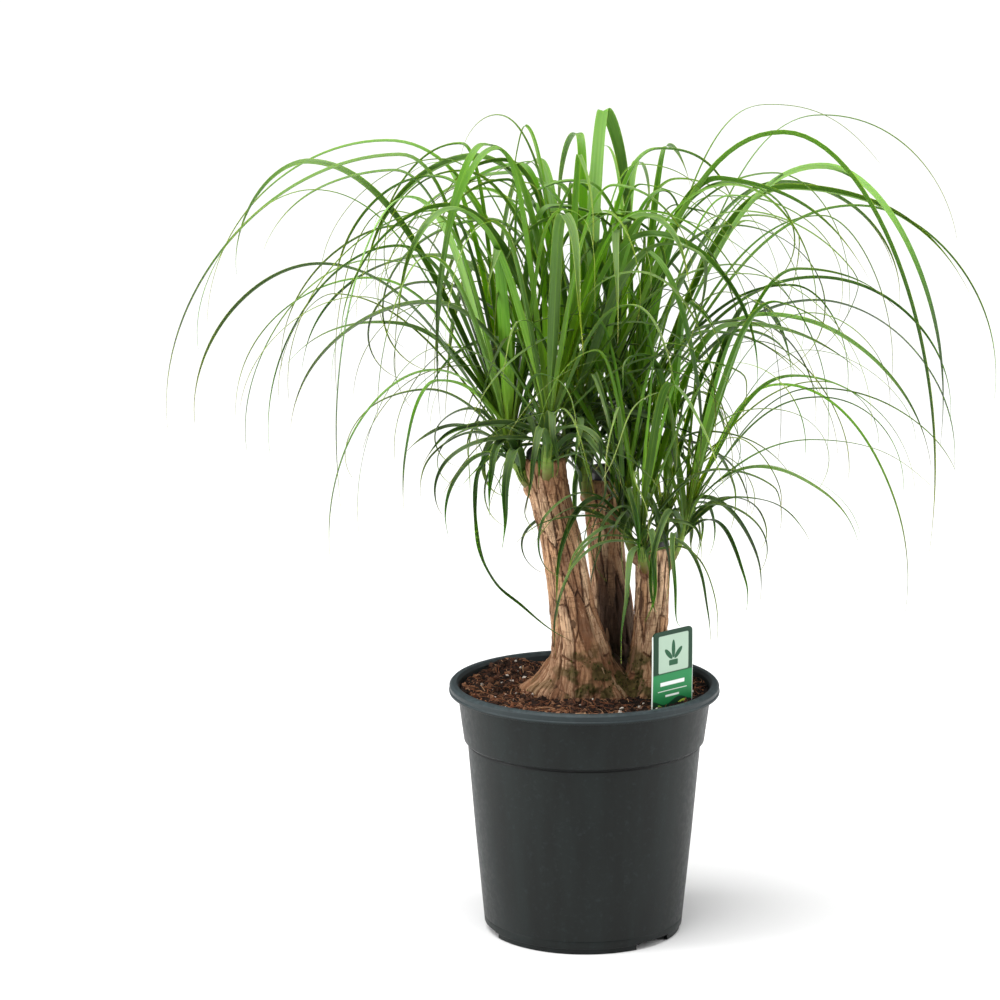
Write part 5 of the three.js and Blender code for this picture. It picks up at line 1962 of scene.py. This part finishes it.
def added_to_scene(name, data):
    """An object for a light or a camera."""
    thing = bpy.data.objects.new(name, data)
    bpy.context.scene.collection.objects.link(thing)
    return thing


def pointed(direction):
    """How a light is turned to shine in a direction."""
    return Vector(direction).to_track_quat("-Z", "Y").to_euler()


def light_scene():
    """White light from all round, soft sunlight from above and a box of light at each side."""
    world = bpy.data.worlds.new("studio")
    world.use_nodes = True
    background = world.node_tree.nodes["Background"]
    background.inputs["Color"].default_value = (1, 1, 1, 1)
    background.inputs["Strength"].default_value = AIR_STRENGTH
    bpy.context.scene.world = world
    sky = bpy.data.lights.new("sky_panel", "SUN")
    sky.energy = SKY_STRENGTH
    sky.angle = math.radians(SKY_ANGLE)
    added_to_scene("sky_panel", sky).rotation_euler = pointed(SKY_DIRECTION)
    for name, (place, strength) in LIGHT_BOXES.items():
        lamp = bpy.data.lights.new(name, "AREA")
        lamp.size = BOX_WIDTH
        lamp.energy = strength
        box = added_to_scene(name, lamp)
        box.location = place
        box.rotation_euler = pointed(Vector(BOX_TARGET) - Vector(place))


class PALM_OT_stage(bpy.types.Operator):
    """Set up the pale floor, the soft lights and the camera"""

    bl_idname = "palm.stage"
    bl_label = "Stage"

    def execute(self, context):
        context.scene.view_settings.view_transform = "Standard"
        reach = FLOOR_REACH / MM
        corners = [(-reach, -reach, 0), (reach, -reach, 0), (reach, reach, 0), (-reach, reach, 0)]
        material, _, shader = new_finish("pale_floor", 0.8)
        shader.inputs["Base Color"].default_value = (*[FLOOR_LIGHTNESS] * 3, 1)
        shown("floor", mesh_from("floor", corners, [(0, 1, 2, 3)]), material)
        light_scene()
        camera = bpy.data.cameras.new("camera")
        camera.lens = CAMERA_LENS
        view = added_to_scene("camera", camera)
        view.location = CAMERA_PLACE
        view.rotation_euler = (math.radians(90 - CAMERA_DIP), 0, 0)
        context.scene.camera = view
        return {"FINISHED"}


class PALM_PT_panel(bpy.types.Panel):
    """Lists the plant's pieces"""

    bl_label = "Ponytail Palm"
    bl_idname = "PALM_PT_panel"
    bl_space_type = "VIEW_3D"
    bl_region_type = "UI"
    bl_category = "Palm"

    def draw(self, context):
        for operator in OPERATORS:
            self.layout.operator(operator.bl_idname)


SETTINGS = {
    "palm_pot": PotSettings,
    "palm_soil": SoilSettings,
    "palm_bark": BarkSettings,
    "palm_wax": WaxSettings,
    "palm_leaf": LeafSettings,
    "palm_label": LabelSettings,
}
OPERATORS = (PALM_OT_pot, PALM_OT_soil, PALM_OT_trunk, PALM_OT_wax, PALM_OT_heads, PALM_OT_label, PALM_OT_stage)
CLASSES = (*SETTINGS.values(), *OPERATORS, PALM_PT_panel)


def register():
    for item in CLASSES:
        bpy.utils.register_class(item)
    for name, group in SETTINGS.items():
        setattr(bpy.types.Scene, name, PointerProperty(type=group))


def unregister():
    for name in SETTINGS:
        delattr(bpy.types.Scene, name)
    for item in reversed(CLASSES):
        bpy.utils.unregister_class(item)


def main():
    """Builds every piece and the stage."""
    register()
    bpy.ops.palm.pot()
    bpy.ops.palm.soil()
    bpy.ops.palm.trunk()
    bpy.ops.palm.wax()
    bpy.ops.palm.heads()
    bpy.ops.palm.label()
    bpy.ops.palm.stage()


if __name__ == "__main__":
    main()
